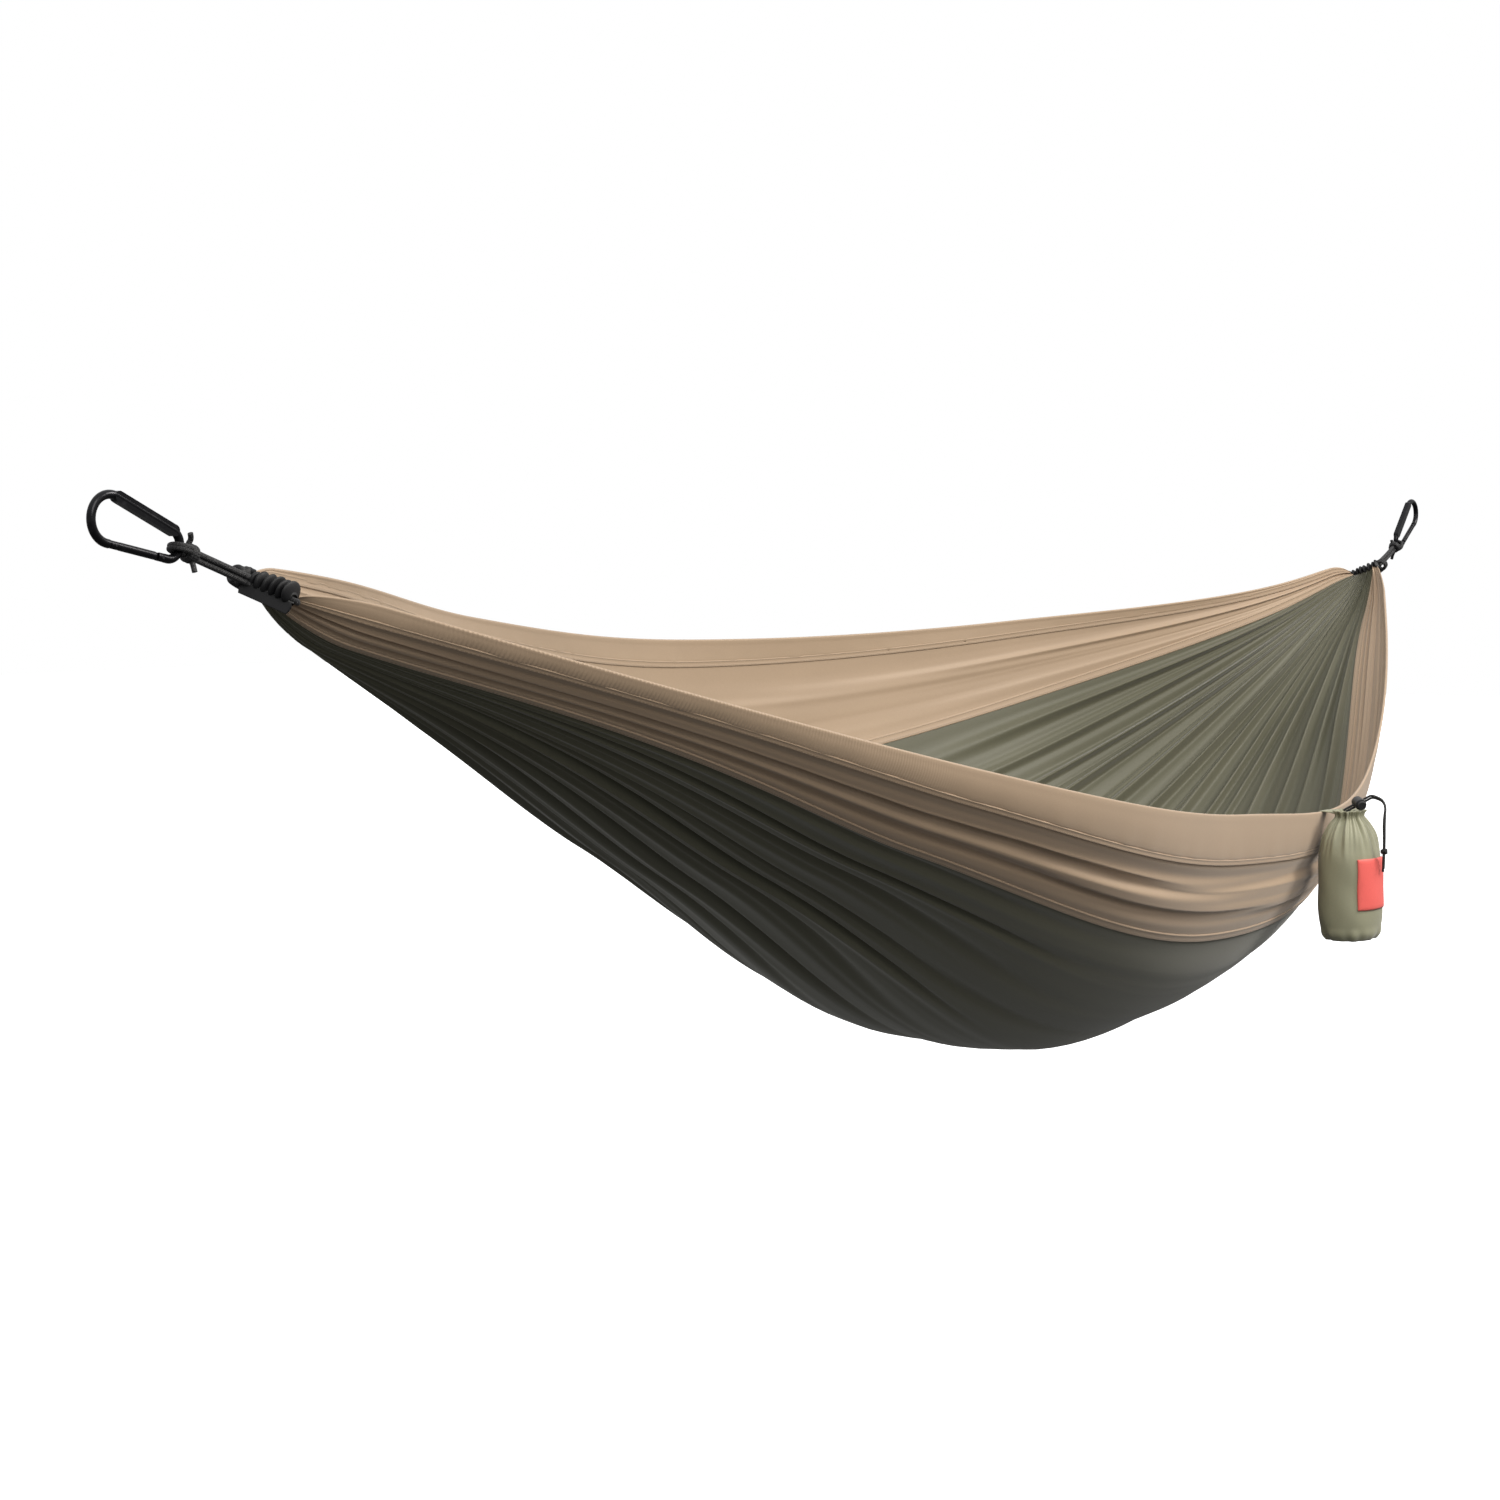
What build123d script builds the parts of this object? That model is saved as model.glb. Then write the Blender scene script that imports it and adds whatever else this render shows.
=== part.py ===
from build123d import *
import os
from math import asin, cos, pi, radians, sin, tan

import numpy as np

# A camping hammock hung between its two carabiners. X runs from the head anchor to the
# foot anchor, +Z is up, and the origin is where a tree strap bears in the head carabiner.

# Hanging geometry
GATHER_SPAN = 2600.0            # head gather to foot gather, in a straight line
HEAD_GATHER = (180.0, 0.0, -58.0)
FOOT_GATHER = (HEAD_GATHER[0] + GATHER_SPAN, 0.0, HEAD_GATHER[2])
HEAD_SLOPE = 17.5               # degrees that the head carabiner climbs towards its anchor
FOOT_SLOPE = 40.0               # degrees that the foot carabiner climbs towards its anchor
FOOT_SEAT = (2882.0, 0.0, -16.0)    # where the foot cord bears in its carabiner

# Carabiner
LOOP_LENGTH = 96.0              # clear length inside the loop
ROD = 8.0                       # rod diameter
WIDE_RADIUS = 21.0              # rod centreline at the anchor end
NARROW_RADIUS = 13.0            # rod centreline at the cord end
SPINE_WIDTH = 10.0
SPINE_THICKNESS = 7.6
HINGE_SETBACK = 7.0             # gate pivot from the narrow end's tangent point
LUG_LENGTH = 12.0
LUG_SLOT = 3.4
LUG_SLOT_RUN_IN = 4.0           # how far the slot reaches behind the pivot
TONGUE = 3.0
TONGUE_HEIGHT = 6.0
PIN = 3.0
PIN_CLEARANCE = 0.05
PIN_RECESS = 0.3                # pin ends below the rod's surface
GATE_DIAMETER = 7.4
GATE_BORE = 4.4
GATE_WALL = 3.0                 # solid end of the gate's tube at the hinge
GATE_START = 15.0               # where the gate's tube begins, from the tangent point
NOSE_SETBACK = 2.0              # rod's end, short of the wide end's tangent point
NOSE_LENGTH = 11.0
NOSE_HEIGHT = 5.6
NOSE_TONGUE = 2.4               # thickness of the flat nose
FORK_SLOT = 3.2
FORK_RUN_IN = 12.0              # the fork's slot is this much longer than its latch needs
LATCH_PIN = 2.2
LATCH_NOTCH = 3.2
LATCH_FROM_NOSE = 4.5           # latch pin from the nose's tip
NOTCH_SHIFT = 1.4
PLUNGER_LENGTH = 4.6
PLUNGER_GAP = 0.2
GATE_WIRE = 0.6
GATE_SPRING_PITCH = 2.2
GATE_SPRING_TURNS = 8

# Cord and knots
CORD = 5.6
KNOT_CORD = 5.0                 # the same cord, pulled thin in its knots
STRAND_OFFSET = 3.1             # half the spacing of the two strands
HITCH_RADIUS = 9.6              # the turns that the knot takes round the rod
HITCH_SPACING = 2.6             # half the distance between the two turns
GATE_CLEARANCE = 1.0            # between the gate's end and the nose
NOSE_RUN_IN = 2.0
NOSE_CORNER = 1.5
TONGUE_RUN_IN = 1.0

# Knots and suspension cord
HITCH_CENTRE = -5.3             # along the carabiner, from the cord's seat
KNOT_CENTRE = -18.0
KNOT_RADIUS = 7.6
TAIL_LENGTH = 14.0
TAIL_BACK = 0.25                # how far a tail leans along the rod and across it
TAIL_ACROSS = 0.5
CORNER_RADIUS = 9.0             # where the cord turns from the pull into the channel
TURN_SHARE = 0.96               # of half the strands' spacing, at the cord's turn in the channel
CHOKER_RADIUS = 7.4             # the turns that close the gather
CHOKER_SPACING = 2.4
CHOKER_SETBACK = 6.0
CHOKER_LUMP = 5.0

# Gathered end channel, a tape tunnel bunched up on the cord
CHANNEL_LENGTH = 56.0
CHANNEL_CREST = 10.5
CHANNEL_VALLEY = 8.2
CHANNEL_BORE = 6.6
CHANNEL_RIBS = 8
CHANNEL_ENTRY = 3.0             # the cord's corners, inside the channel's two ends
CHANNEL_TURN = 6.0
HEAD_CHANNEL = ((-4.0, 4.0, 2.0), (0.2, -0.92, -0.36))      # start from the gather, and direction
FOOT_CHANNEL = ((5.0, -10.0, 4.0), (-0.1, 0.92, -0.38))

# Sling, given as the empty hammock hangs: how far each edge is out and down along the span
STATION = (0.0, 0.08, 0.25, 0.50, 0.75, 0.92, 1.0)
NEAR_OUT = (22.0, 195.0, 385.0, 380.0, 266.0, 110.0, 20.0)
NEAR_DOWN = (-4.0, 75.0, 198.0, 293.0, 285.0, 104.0, -2.0)
FAR_OUT = (20.0, 105.0, 295.0, 460.0, 325.0, 80.0, 20.0)
FAR_DOWN = (-14.0, 2.0, 51.0, 96.0, 81.0, 28.0, -16.0)
MIDDLE_DOWN = (30.0, 121.0, 335.0, 614.0, 455.0, 149.0, 30.0)
NEAR_SEAM = (0.17, 0.465, 0.57, 0.69, 0.61, 0.40, 0.22)     # seam's share of the near flank
FAR_SEAM = (0.72, 0.82)         # seam's share of the far flank at the head and at the foot
CENTRE_LINES = (-0.10, 0.36)    # the centre panel's shell is in three strips, parted along these
NEAR_HEM = 0.64                 # where the near hem band begins, between the seam and the edge
FAR_HEM = 0.83
FABRIC = 2.4                    # thickness of the stand-in shells
SEAM_GAP = 0.006                # gap between two shells, as a share of the flank
LOFT_STEPS = 15
NECK = 5.0                      # how far past the gather the shells begin

# Stuff sack sewn to the near edge
SACK_AT = 0.62                  # of the span
SACK_HANG = 42.0                # sack's middle outside the near edge
SACK_HALF_WIDTH = 52.0
SACK_HALF_DEPTH = 36.0
SACK_HEIGHT = 158.0
SACK_RISE = 6.0                 # mouth above the near edge
SACK_LEVELS = ((0.0, 0.66), (0.10, 0.92), (0.45, 1.0), (0.80, 0.86), (1.0, 0.42))   # height, width
MOUTH_HALF_WIDTH = 22.0
MOUTH_HALF_DEPTH = 14.0
MOUTH_HEIGHT = 10.0
MOUTH_TAPER = 8.0
FLAP_WIDTH = 30.0
FLAP_THICKNESS = 2.0
FLAP_GAP = 5.0                  # between the flap and the sling's edge
PATCH_WIDTH = 64.0
PATCH_HEIGHT = 66.0
PATCH_THICKNESS = 1.2
PATCH_GAP = 0.02                # between the patch and the sack
PATCH_CORNER = 2.0
PATCH_SHIFT = -8.0              # from the sack's middle, along the sling
PATCH_LEVEL = 0.47              # its middle's share of the sack's height
DRAW_CORD = 3.0
DRAW_SPACING = 1.7              # half the spacing of the drawcord's two strands
MOUTH_EXIT = (-6.0, 4.0, 1.0)   # where the drawcord leaves the mouth, from its middle
DRAW_WAY = (0.50, -0.72, 0.48)  # the way it leaves the mouth
PRESS_LEAN = (-0.48, 0.34, 1.0)     # the lock's button is square to this and to DRAW_WAY
SPREAD_WAY = (0.8, 0.6, 0.0)    # the way the two strands part as they fall
DRAW_START = 6.0                # how far inside the mouth the strands begin
LOCK_FROM_MOUTH = 16.0
CREST_FROM_MOUTH = 36.0
DRAW_SHOULDER = (9.0, -15.0, -8.0)  # where the strands turn down, from the crest
DRAW_FALL = (6.0, 3.0, 38.0)    # the next three points are from the knot
KNOT_ENTRY = (0.5, 0.0, 14.0)
KNOT_EXIT = (0.8, 0.6, -8.0)
DRAW_TAIL_END = (0.5, 0.8, 0.0)
DRAW_TAILS = (22.0, 27.0)       # below the knot
DRAW_KNOT_SHIFT = -1.0          # along the sling, from the sack's middle
DRAW_KNOT_DROP = 52.0
DRAW_KNOT_OUT = 8.0             # clear of the sack's side
DRAW_KNOT_LEAN = (0.3, 0.2, 1)
SHOULDER_SPACING = 1.3          # half the strands' spacing there, as they fall, and at their tails
FALL_SPACING = 3.0
TAIL_SPACING = 3.2
LOCK_RADIUS = 7.4
LOCK_BORE = 5.6
LOCK_LENGTH = 19.0
LOCK_FLOOR = 2.0
LOCK_EDGE = 1.2
LOCK_SPRING_ROOM = 5.0
LOCK_WIRE = 0.5
LOCK_SPRING_TURNS = 4
LOCK_SPRING_INSET = 1.6         # coil's middle line, from the bore's wall
SLOT_CLEARANCE = 0.8
BUTTON_CLEARANCE = 0.08
BUTTON_PROUD = 1.5              # beyond its travel
BUTTON_TRAVEL = 4.0
BUTTON_EDGE = 1.0
BUTTON_RING = 3.9
RING_WIDTH = 0.8
BUTTON_DIMPLE = 1.5
BUTTON_GROOVE = 0.5
DRAW_KNOT_RADIUS = 3.6
DRAW_KNOT_THICKNESS = 2.6
DRAW_KNOT_LUMP = 4.4


def smooth(share, values):
    """A smooth curve through the values at the stations."""
    at = np.array(STATION)
    value = np.array(values)
    slope = np.gradient(value, at)
    i = min(max(int(np.searchsorted(at, share)) - 1, 0), len(at) - 2)
    width = at[i + 1] - at[i]
    u = (share - at[i]) / width
    start = (1 + 2 * u) * (1 - u) ** 2 * value[i] + u * (1 - u) ** 2 * width * slope[i]
    end = u * u * (3 - 2 * u) * value[i + 1] + u * u * (u - 1) * width * slope[i + 1]
    return float(start + end)


def fabric_point(share, around):
    """Outer face of the sling: around is -1 at the near edge, 0 at the keel and 1 at the far edge."""
    turn = abs(around) * pi / 2
    keel = -smooth(share, MIDDLE_DOWN)
    if around < 0:
        out, edge = -smooth(share, NEAR_OUT), -smooth(share, NEAR_DOWN)
    else:
        out, edge = smooth(share, FAR_OUT), -smooth(share, FAR_DOWN)
    y = out * sin(turn)
    z = keel + (edge - keel) * (1 - cos(turn))
    return HEAD_GATHER[1] + y, HEAD_GATHER[2] + z


def inner_point(share, around):
    """The same point on the shell's inner face."""
    step = 0.01
    y0, z0 = fabric_point(share, around - step)
    y1, z1 = fabric_point(share, around + step)
    run = ((y1 - y0) ** 2 + (z1 - z0) ** 2) ** 0.5
    y, z = fabric_point(share, around)
    return y - FABRIC * (z1 - z0) / run, z + FABRIC * (y1 - y0) / run


def fabric_strip(low, high, count):
    """A thin shell between two lines along the sling; low and high give around at a share."""
    shares = [(1 - cos(pi * i / LOFT_STEPS)) / 2 for i in range(LOFT_STEPS + 1)]
    with BuildPart() as strip:
        for share in shares:
            x = HEAD_GATHER[0] + NECK + share * (GATHER_SPAN - 2 * NECK)
            across = np.linspace(low(share), high(share), count)
            outer = [fabric_point(share, a) for a in across]
            inner = [inner_point(share, a) for a in across[::-1]]
            with BuildSketch(Plane(origin=(x, 0, 0), x_dir=(0, 1, 0), z_dir=(1, 0, 0))):
                with BuildLine():
                    Spline(*outer)
                    Line(outer[-1], inner[0])
                    Spline(*inner)
                    Line(inner[-1], outer[0])
                make_face()
        loft()
    return strip.part


def near_seam(share):
    return -smooth(share, NEAR_SEAM)


def far_seam(share):
    return FAR_SEAM[0] + (FAR_SEAM[1] - FAR_SEAM[0]) * share


def near_hem_line(share):
    return near_seam(share) + (-1 - near_seam(share)) * NEAR_HEM


def far_hem_line(share):
    return far_seam(share) + (1 - far_seam(share)) * FAR_HEM


def save(part, name):
    part.label = name
    export_step(part, "parts/" + name + ".step")


def along(origin, direction, distance):
    return tuple(origin[i] + direction[i] * distance for i in range(3))


def cord_radii(points):
    """Arc radius at each corner: 0.45 of the shorter run, over the tangent of half the turn."""
    radii = []
    for a, b, c in zip(points, points[1:], points[2:]):
        first = Vector(b) - Vector(a)
        second = Vector(c) - Vector(b)
        turn = radians(first.get_angle(second))
        radii.append(0.45 * min(first.length, second.length) / tan(turn / 2))
    return radii


def cord_tube(points, diameter, name):
    """One length of cord along straight runs and tangent arcs."""
    radii = cord_radii(points)
    print(name, "radii", [round(r, 1) for r in radii])
    with BuildPart() as tube:
        with BuildLine():
            path = FilletPolyline(*points, radius=radii)
        with BuildSketch(Plane(origin=path @ 0, z_dir=path % 0)):
            Circle(diameter / 2)
        sweep()
    print(name, "length", round(path.length, 1), "volume", round(tube.part.volume, 1),
          "section times length", round(pi * diameter ** 2 / 4 * path.length, 1))
    return tube.part


def carabiner(seat, direction, prefix):
    """The six pieces of one carabiner. In its own plane, u runs from the cord's seat to the anchor and
    v towards the spine; the third axis is across the rod."""
    u_axis = Vector(direction)
    v_axis = Vector(0, 0, 1) - u_axis * u_axis.Z
    face = Plane(origin=seat, x_dir=u_axis, z_dir=u_axis.cross(v_axis))
    narrow = NARROW_RADIUS - ROD / 2
    wide = LOOP_LENGTH + ROD / 2 - WIDE_RADIUS
    taper = asin((WIDE_RADIUS - NARROW_RADIUS) / (wide - narrow))
    gate_line = (wide - narrow) * cos(taper)

    def on_gate(distance, rise=0.0):
        """A point on the gate's line, measured from the narrow end's tangent point."""
        u = narrow - NARROW_RADIUS * sin(taper) + distance * cos(taper) + rise * sin(taper)
        v = -NARROW_RADIUS * cos(taper) - distance * sin(taper) + rise * cos(taper)
        return u, v

    def world(u, v, across=0.0):
        return face.from_local_coords(Vector(u, v, across))

    along_gate = (face.x_dir * cos(taper) - face.y_dir * sin(taper)).normalized()
    gate_face = Plane(origin=world(*on_gate(0)), x_dir=along_gate, z_dir=face.z_dir)
    nose = gate_line - NOSE_SETBACK
    latch = nose - NOSE_LENGTH + LATCH_FROM_NOSE
    tip = nose - GATE_CLEARANCE

    # Rod from the nose round the wide end, along the spine and round the narrow end to the lug
    spine_low = (narrow - NARROW_RADIUS * sin(taper), NARROW_RADIUS * cos(taper))
    spine_high = (wide - WIDE_RADIUS * sin(taper), WIDE_RADIUS * cos(taper))
    with BuildPart() as body:
        with BuildLine(face) as rod_line:
            Line(on_gate(nose), on_gate(gate_line))
            ThreePointArc(on_gate(gate_line), (wide + WIDE_RADIUS, 0), spine_high)
            Line(spine_high, spine_low)
            ThreePointArc(spine_low, (narrow - NARROW_RADIUS, 0), on_gate(0))
            Line(on_gate(0), on_gate(LUG_LENGTH))
        start = world(*on_gate(nose))
        with BuildSketch(Plane(origin=start, z_dir=along_gate)):
            Circle(ROD / 2)
        sweep(path=rod_line.line, transition=Transition.ROUND)
        with BuildSketch(face):
            with BuildLine():
                Polyline(spine_low, spine_high)
                offset(amount=SPINE_WIDTH / 2)
            make_face()
        extrude(amount=SPINE_THICKNESS / 2, both=True)
        # Slot in the lug for the gate's tongue, and the hole for its pin
        with BuildSketch(gate_face):
            with Locations((LUG_LENGTH, 0)):
                Rectangle(2 * (LUG_LENGTH - HINGE_SETBACK + LUG_SLOT_RUN_IN), 2 * ROD)
        extrude(amount=LUG_SLOT / 2, both=True, mode=Mode.SUBTRACT)
        with BuildSketch(gate_face):
            with Locations((HINGE_SETBACK, 0)):
                Circle(PIN / 2)
        extrude(amount=ROD, both=True, mode=Mode.SUBTRACT)
        # Flat nose with the notch that takes the latch pin
        with BuildSketch(gate_face):
            with Locations((nose - NOSE_LENGTH / 2 + NOSE_RUN_IN / 2, 0)):
                RectangleRounded(NOSE_LENGTH + NOSE_RUN_IN, NOSE_HEIGHT, NOSE_CORNER)
            with Locations((latch, NOTCH_SHIFT)):
                Rectangle(LATCH_NOTCH, NOSE_HEIGHT, mode=Mode.SUBTRACT)
        extrude(amount=NOSE_TONGUE / 2, both=True)
    save(body.part, prefix + "_carabiner_body")

    with BuildPart() as gate:
        gate_end = world(*on_gate(GATE_START))
        with BuildSketch(Plane(origin=gate_end, z_dir=along_gate)):
            Circle(GATE_DIAMETER / 2)
        extrude(amount=tip - GATE_START)
        bore_start = world(*on_gate(GATE_START + GATE_WALL))
        with BuildSketch(Plane(origin=bore_start, z_dir=along_gate)):
            Circle(GATE_BORE / 2)
        extrude(amount=tip - GATE_START - NOSE_LENGTH - 2 * GATE_WALL, mode=Mode.SUBTRACT)
        with BuildSketch(gate_face):
            with Locations(((tip + latch) / 2, 0)):
                Rectangle(tip - latch + FORK_RUN_IN, 2 * ROD)
        extrude(amount=FORK_SLOT / 2, both=True, mode=Mode.SUBTRACT)
        with BuildSketch(gate_face):
            with Locations((latch, 0)):
                Circle(LATCH_PIN / 2)
        extrude(amount=ROD, both=True, mode=Mode.SUBTRACT)
        with BuildSketch(gate_face):
            with Locations(((HINGE_SETBACK + GATE_START + TONGUE_RUN_IN) / 2, 0)):
                Rectangle(GATE_START + TONGUE_RUN_IN - HINGE_SETBACK, TONGUE_HEIGHT)
            with Locations((HINGE_SETBACK, 0)):
                Circle(TONGUE_HEIGHT / 2)
                Circle(PIN / 2 + PIN_CLEARANCE, mode=Mode.SUBTRACT)
        extrude(amount=TONGUE / 2, both=True)
    save(gate.part, prefix + "_gate")

    with BuildPart() as hinge_pin:
        with BuildSketch(gate_face):
            with Locations((HINGE_SETBACK, 0)):
                Circle(PIN / 2)
        extrude(amount=ROD / 2 - PIN_RECESS, both=True)
    save(hinge_pin.part, prefix + "_hinge_pin")

    with BuildPart() as latch_pin:
        with BuildSketch(gate_face):
            with Locations((latch, 0)):
                Circle(LATCH_PIN / 2)
        extrude(amount=GATE_DIAMETER / 2 - PIN_RECESS, both=True)
    save(latch_pin.part, prefix + "_latch_pin")

    plunger_start = GATE_START + GATE_WALL + PLUNGER_GAP
    with BuildPart() as plunger:
        with BuildSketch(Plane(origin=world(*on_gate(plunger_start)), z_dir=along_gate)):
            Circle(GATE_BORE / 2 - PLUNGER_GAP)
        extrude(amount=PLUNGER_LENGTH)
    save(plunger.part, prefix + "_plunger")

    spring_start = plunger_start + PLUNGER_LENGTH + PLUNGER_GAP + GATE_WIRE
    with BuildPart() as spring:
        with BuildLine() as coil:
            Helix(
                pitch=GATE_SPRING_PITCH,
                height=GATE_SPRING_TURNS * GATE_SPRING_PITCH,
                radius=GATE_BORE / 2 - GATE_WIRE,
                center=world(*on_gate(spring_start)),
                direction=along_gate,
            )
        with BuildSketch(Plane(origin=coil.line @ 0, z_dir=coil.line % 0)):
            Circle(GATE_WIRE / 2)
        sweep(path=coil.line, is_frenet=True)
    save(spring.part, prefix + "_gate_spring")
    print(prefix, "gate pivot", world(*on_gate(HINGE_SETBACK)), "axis", face.z_dir)
    return face


def carabiner_knot(face, prefix):
    """The knot that ties the cord to the rod: two turns round it, a hard lump and two short tails."""
    with BuildPart() as knot:
        for side in (-1, 1):
            centre = face.from_local_coords(Vector(HITCH_CENTRE, side * HITCH_SPACING, 0))
            with Locations(Plane(origin=centre, x_dir=face.x_dir, z_dir=face.y_dir)):
                Torus(HITCH_RADIUS, KNOT_CORD / 2)
        with Locations(face * Location((KNOT_CENTRE, 0, 0))):
            Sphere(KNOT_RADIUS)
        for lean in (-1, 1):
            start = face.from_local_coords(Vector(KNOT_CENTRE, 0, 0))
            end_direction = face.y_dir * lean - face.x_dir * TAIL_BACK - face.z_dir * TAIL_ACROSS * lean
            with BuildSketch(Plane(origin=start, z_dir=end_direction)):
                Circle(KNOT_CORD / 2)
            extrude(amount=TAIL_LENGTH)
    save(knot.part, prefix + "_carabiner_knot")


def end_pieces(seat, gather, channel_start, channel_direction, prefix):
    """Suspension cord, the knot that chokes it, and the gathered channel it runs through."""
    rope = (Vector(*gather) + Vector(*channel_start) - Vector(*seat)).normalized()
    base = Vector(*gather) + Vector(*channel_start)
    roll = Vector(*channel_direction).normalized()
    side = rope.cross(roll).normalized()
    entry = base + roll * CHANNEL_ENTRY
    far_end = base + roll * (CHANNEL_LENGTH - CHANNEL_TURN)
    knot_end = Vector(*seat) - rope * KNOT_CENTRE
    points = []
    for sign, run in ((1, (knot_end, entry, far_end)), (-1, (far_end, entry, knot_end))):
        points += [tuple(p + side * sign * STRAND_OFFSET) for p in run]
    turn_radius = STRAND_OFFSET * TURN_SHARE
    radii = [CORNER_RADIUS, turn_radius, turn_radius, CORNER_RADIUS]
    with BuildPart() as line:
        with BuildLine():
            path = FilletPolyline(*points, radius=radii)
        with BuildSketch(Plane(origin=path @ 0, z_dir=path % 0)):
            Circle(CORD / 2)
        sweep()
    print(prefix, "cord points", [tuple(round(c, 1) for c in p) for p in points])
    print(prefix, "cord length", round(path.length, 1), "volume", round(line.part.volume),
          "section times length", round(pi * CORD ** 2 / 4 * path.length))
    save(line.part, prefix + "_suspension_cord")

    with BuildPart() as choker:
        for shift in (-CHOKER_SPACING, CHOKER_SPACING):
            with Locations(Plane(origin=base - rope * (CHOKER_SETBACK + shift), z_dir=rope)):
                Torus(CHOKER_RADIUS, KNOT_CORD / 2)
        lump = base - rope * CHOKER_SETBACK + side * CHOKER_RADIUS
        with Locations(Plane(origin=lump, z_dir=rope)):
            Sphere(CHOKER_LUMP)
    save(choker.part, prefix + "_channel_knot")

    rib = CHANNEL_LENGTH / CHANNEL_RIBS
    with BuildPart() as channel:
        with BuildSketch(Plane(origin=base, x_dir=roll, z_dir=side)):
            with BuildLine():
                crests = []
                for i in range(CHANNEL_RIBS):
                    crests += [(i * rib, CHANNEL_VALLEY), ((i + 0.5) * rib, CHANNEL_CREST)]
                crests.append((CHANNEL_LENGTH, CHANNEL_VALLEY))
                Spline(*crests)
                Polyline(crests[-1], (CHANNEL_LENGTH, CHANNEL_BORE), (0, CHANNEL_BORE), crests[0])
            make_face()
        revolve(axis=Axis(base, roll))
    save(channel.part, prefix + "_end_channel")


os.makedirs("parts", exist_ok=True)

# Sling
strips = {
    "near_hem": (lambda s: -1.0, lambda s: near_hem_line(s) - SEAM_GAP, 4),
    "near_side_panel": (near_hem_line, lambda s: near_seam(s) - SEAM_GAP, 4),
    "centre_panel_near": (near_seam, lambda s: CENTRE_LINES[0] - SEAM_GAP, 5),
    "centre_panel_keel": (lambda s: CENTRE_LINES[0], lambda s: CENTRE_LINES[1] - SEAM_GAP, 6),
    "centre_panel_far": (lambda s: CENTRE_LINES[1], far_seam, 5),
    "far_side_panel": (lambda s: far_seam(s) + SEAM_GAP, far_hem_line, 4),
    "far_hem": (lambda s: far_hem_line(s) + SEAM_GAP, lambda s: 1.0, 3),
}
for name, (low, high, count) in strips.items():
    save(fabric_strip(low, high, count), name)

# Carabiners, cords and gathered ends
head_direction = (-cos(radians(HEAD_SLOPE)), 0.0, sin(radians(HEAD_SLOPE)))
foot_direction = (cos(radians(FOOT_SLOPE)), 0.0, sin(radians(FOOT_SLOPE)))
head_seat = along((0, 0, 0), head_direction, -LOOP_LENGTH)
ends = (
    ("head", head_seat, head_direction, HEAD_GATHER, *HEAD_CHANNEL),
    ("foot", FOOT_SEAT, foot_direction, FOOT_GATHER, *FOOT_CHANNEL),
)
for prefix, seat, direction, gather, start, roll in ends:
    face = carabiner(seat, direction, prefix)
    carabiner_knot(face, prefix)
    end_pieces(seat, gather, start, roll, prefix)
print("foot anchor", along(FOOT_SEAT, foot_direction, LOOP_LENGTH))

# Stuff sack, sewn to the near edge by a flap at its mouth and drawn shut
edge_y, edge_z = fabric_point(SACK_AT, -1.0)
sack_x = HEAD_GATHER[0] + NECK + SACK_AT * (GATHER_SPAN - 2 * NECK)
sack_y = edge_y - SACK_HANG
sack_top = edge_z + SACK_RISE
mouth = sack_top - MOUTH_HEIGHT
floor = mouth - SACK_HEIGHT


def sack_solid(proud):
    """The sack's shape as it hangs part filled; proud makes it larger all round."""
    with BuildPart() as shape:
        for height, width in SACK_LEVELS:
            with BuildSketch(Plane(origin=(sack_x, sack_y, floor + height * SACK_HEIGHT))):
                Ellipse(SACK_HALF_WIDTH * width + proud, SACK_HALF_DEPTH * width + proud)
        loft()
    return shape.part


sack_body = sack_solid(0.0)
save(sack_body, "sack_body")

with BuildPart() as sack_mouth:
    with BuildSketch(Plane(origin=(sack_x, sack_y, mouth))):
        Ellipse(MOUTH_HALF_WIDTH, MOUTH_HALF_DEPTH)
    extrude(amount=MOUTH_HEIGHT, taper=MOUTH_TAPER)
save(sack_mouth.part, "sack_mouth")

flap_length = SACK_HANG - MOUTH_HALF_DEPTH
flap_y = edge_y - flap_length / 2 - FLAP_GAP
with BuildPart() as sack_flap:
    with BuildSketch(Plane(origin=(sack_x, flap_y, sack_top - SACK_RISE))):
        Rectangle(FLAP_WIDTH, flap_length)
    extrude(amount=FLAP_THICKNESS)
save(sack_flap.part, "sack_flap")

patch_at = (sack_x + PATCH_SHIFT, sack_y, floor + PATCH_LEVEL * SACK_HEIGHT)
with BuildPart() as patch_block:
    with BuildSketch(Plane(origin=patch_at, x_dir=(1, 0, 0), z_dir=(0, -1, 0))):
        RectangleRounded(PATCH_WIDTH, PATCH_HEIGHT, PATCH_CORNER)
    extrude(amount=2 * SACK_HALF_DEPTH)
sack_patch = (sack_solid(PATCH_THICKNESS) - sack_solid(PATCH_GAP)) & patch_block.part
save(sack_patch.solids()[0], "sack_patch")

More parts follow.
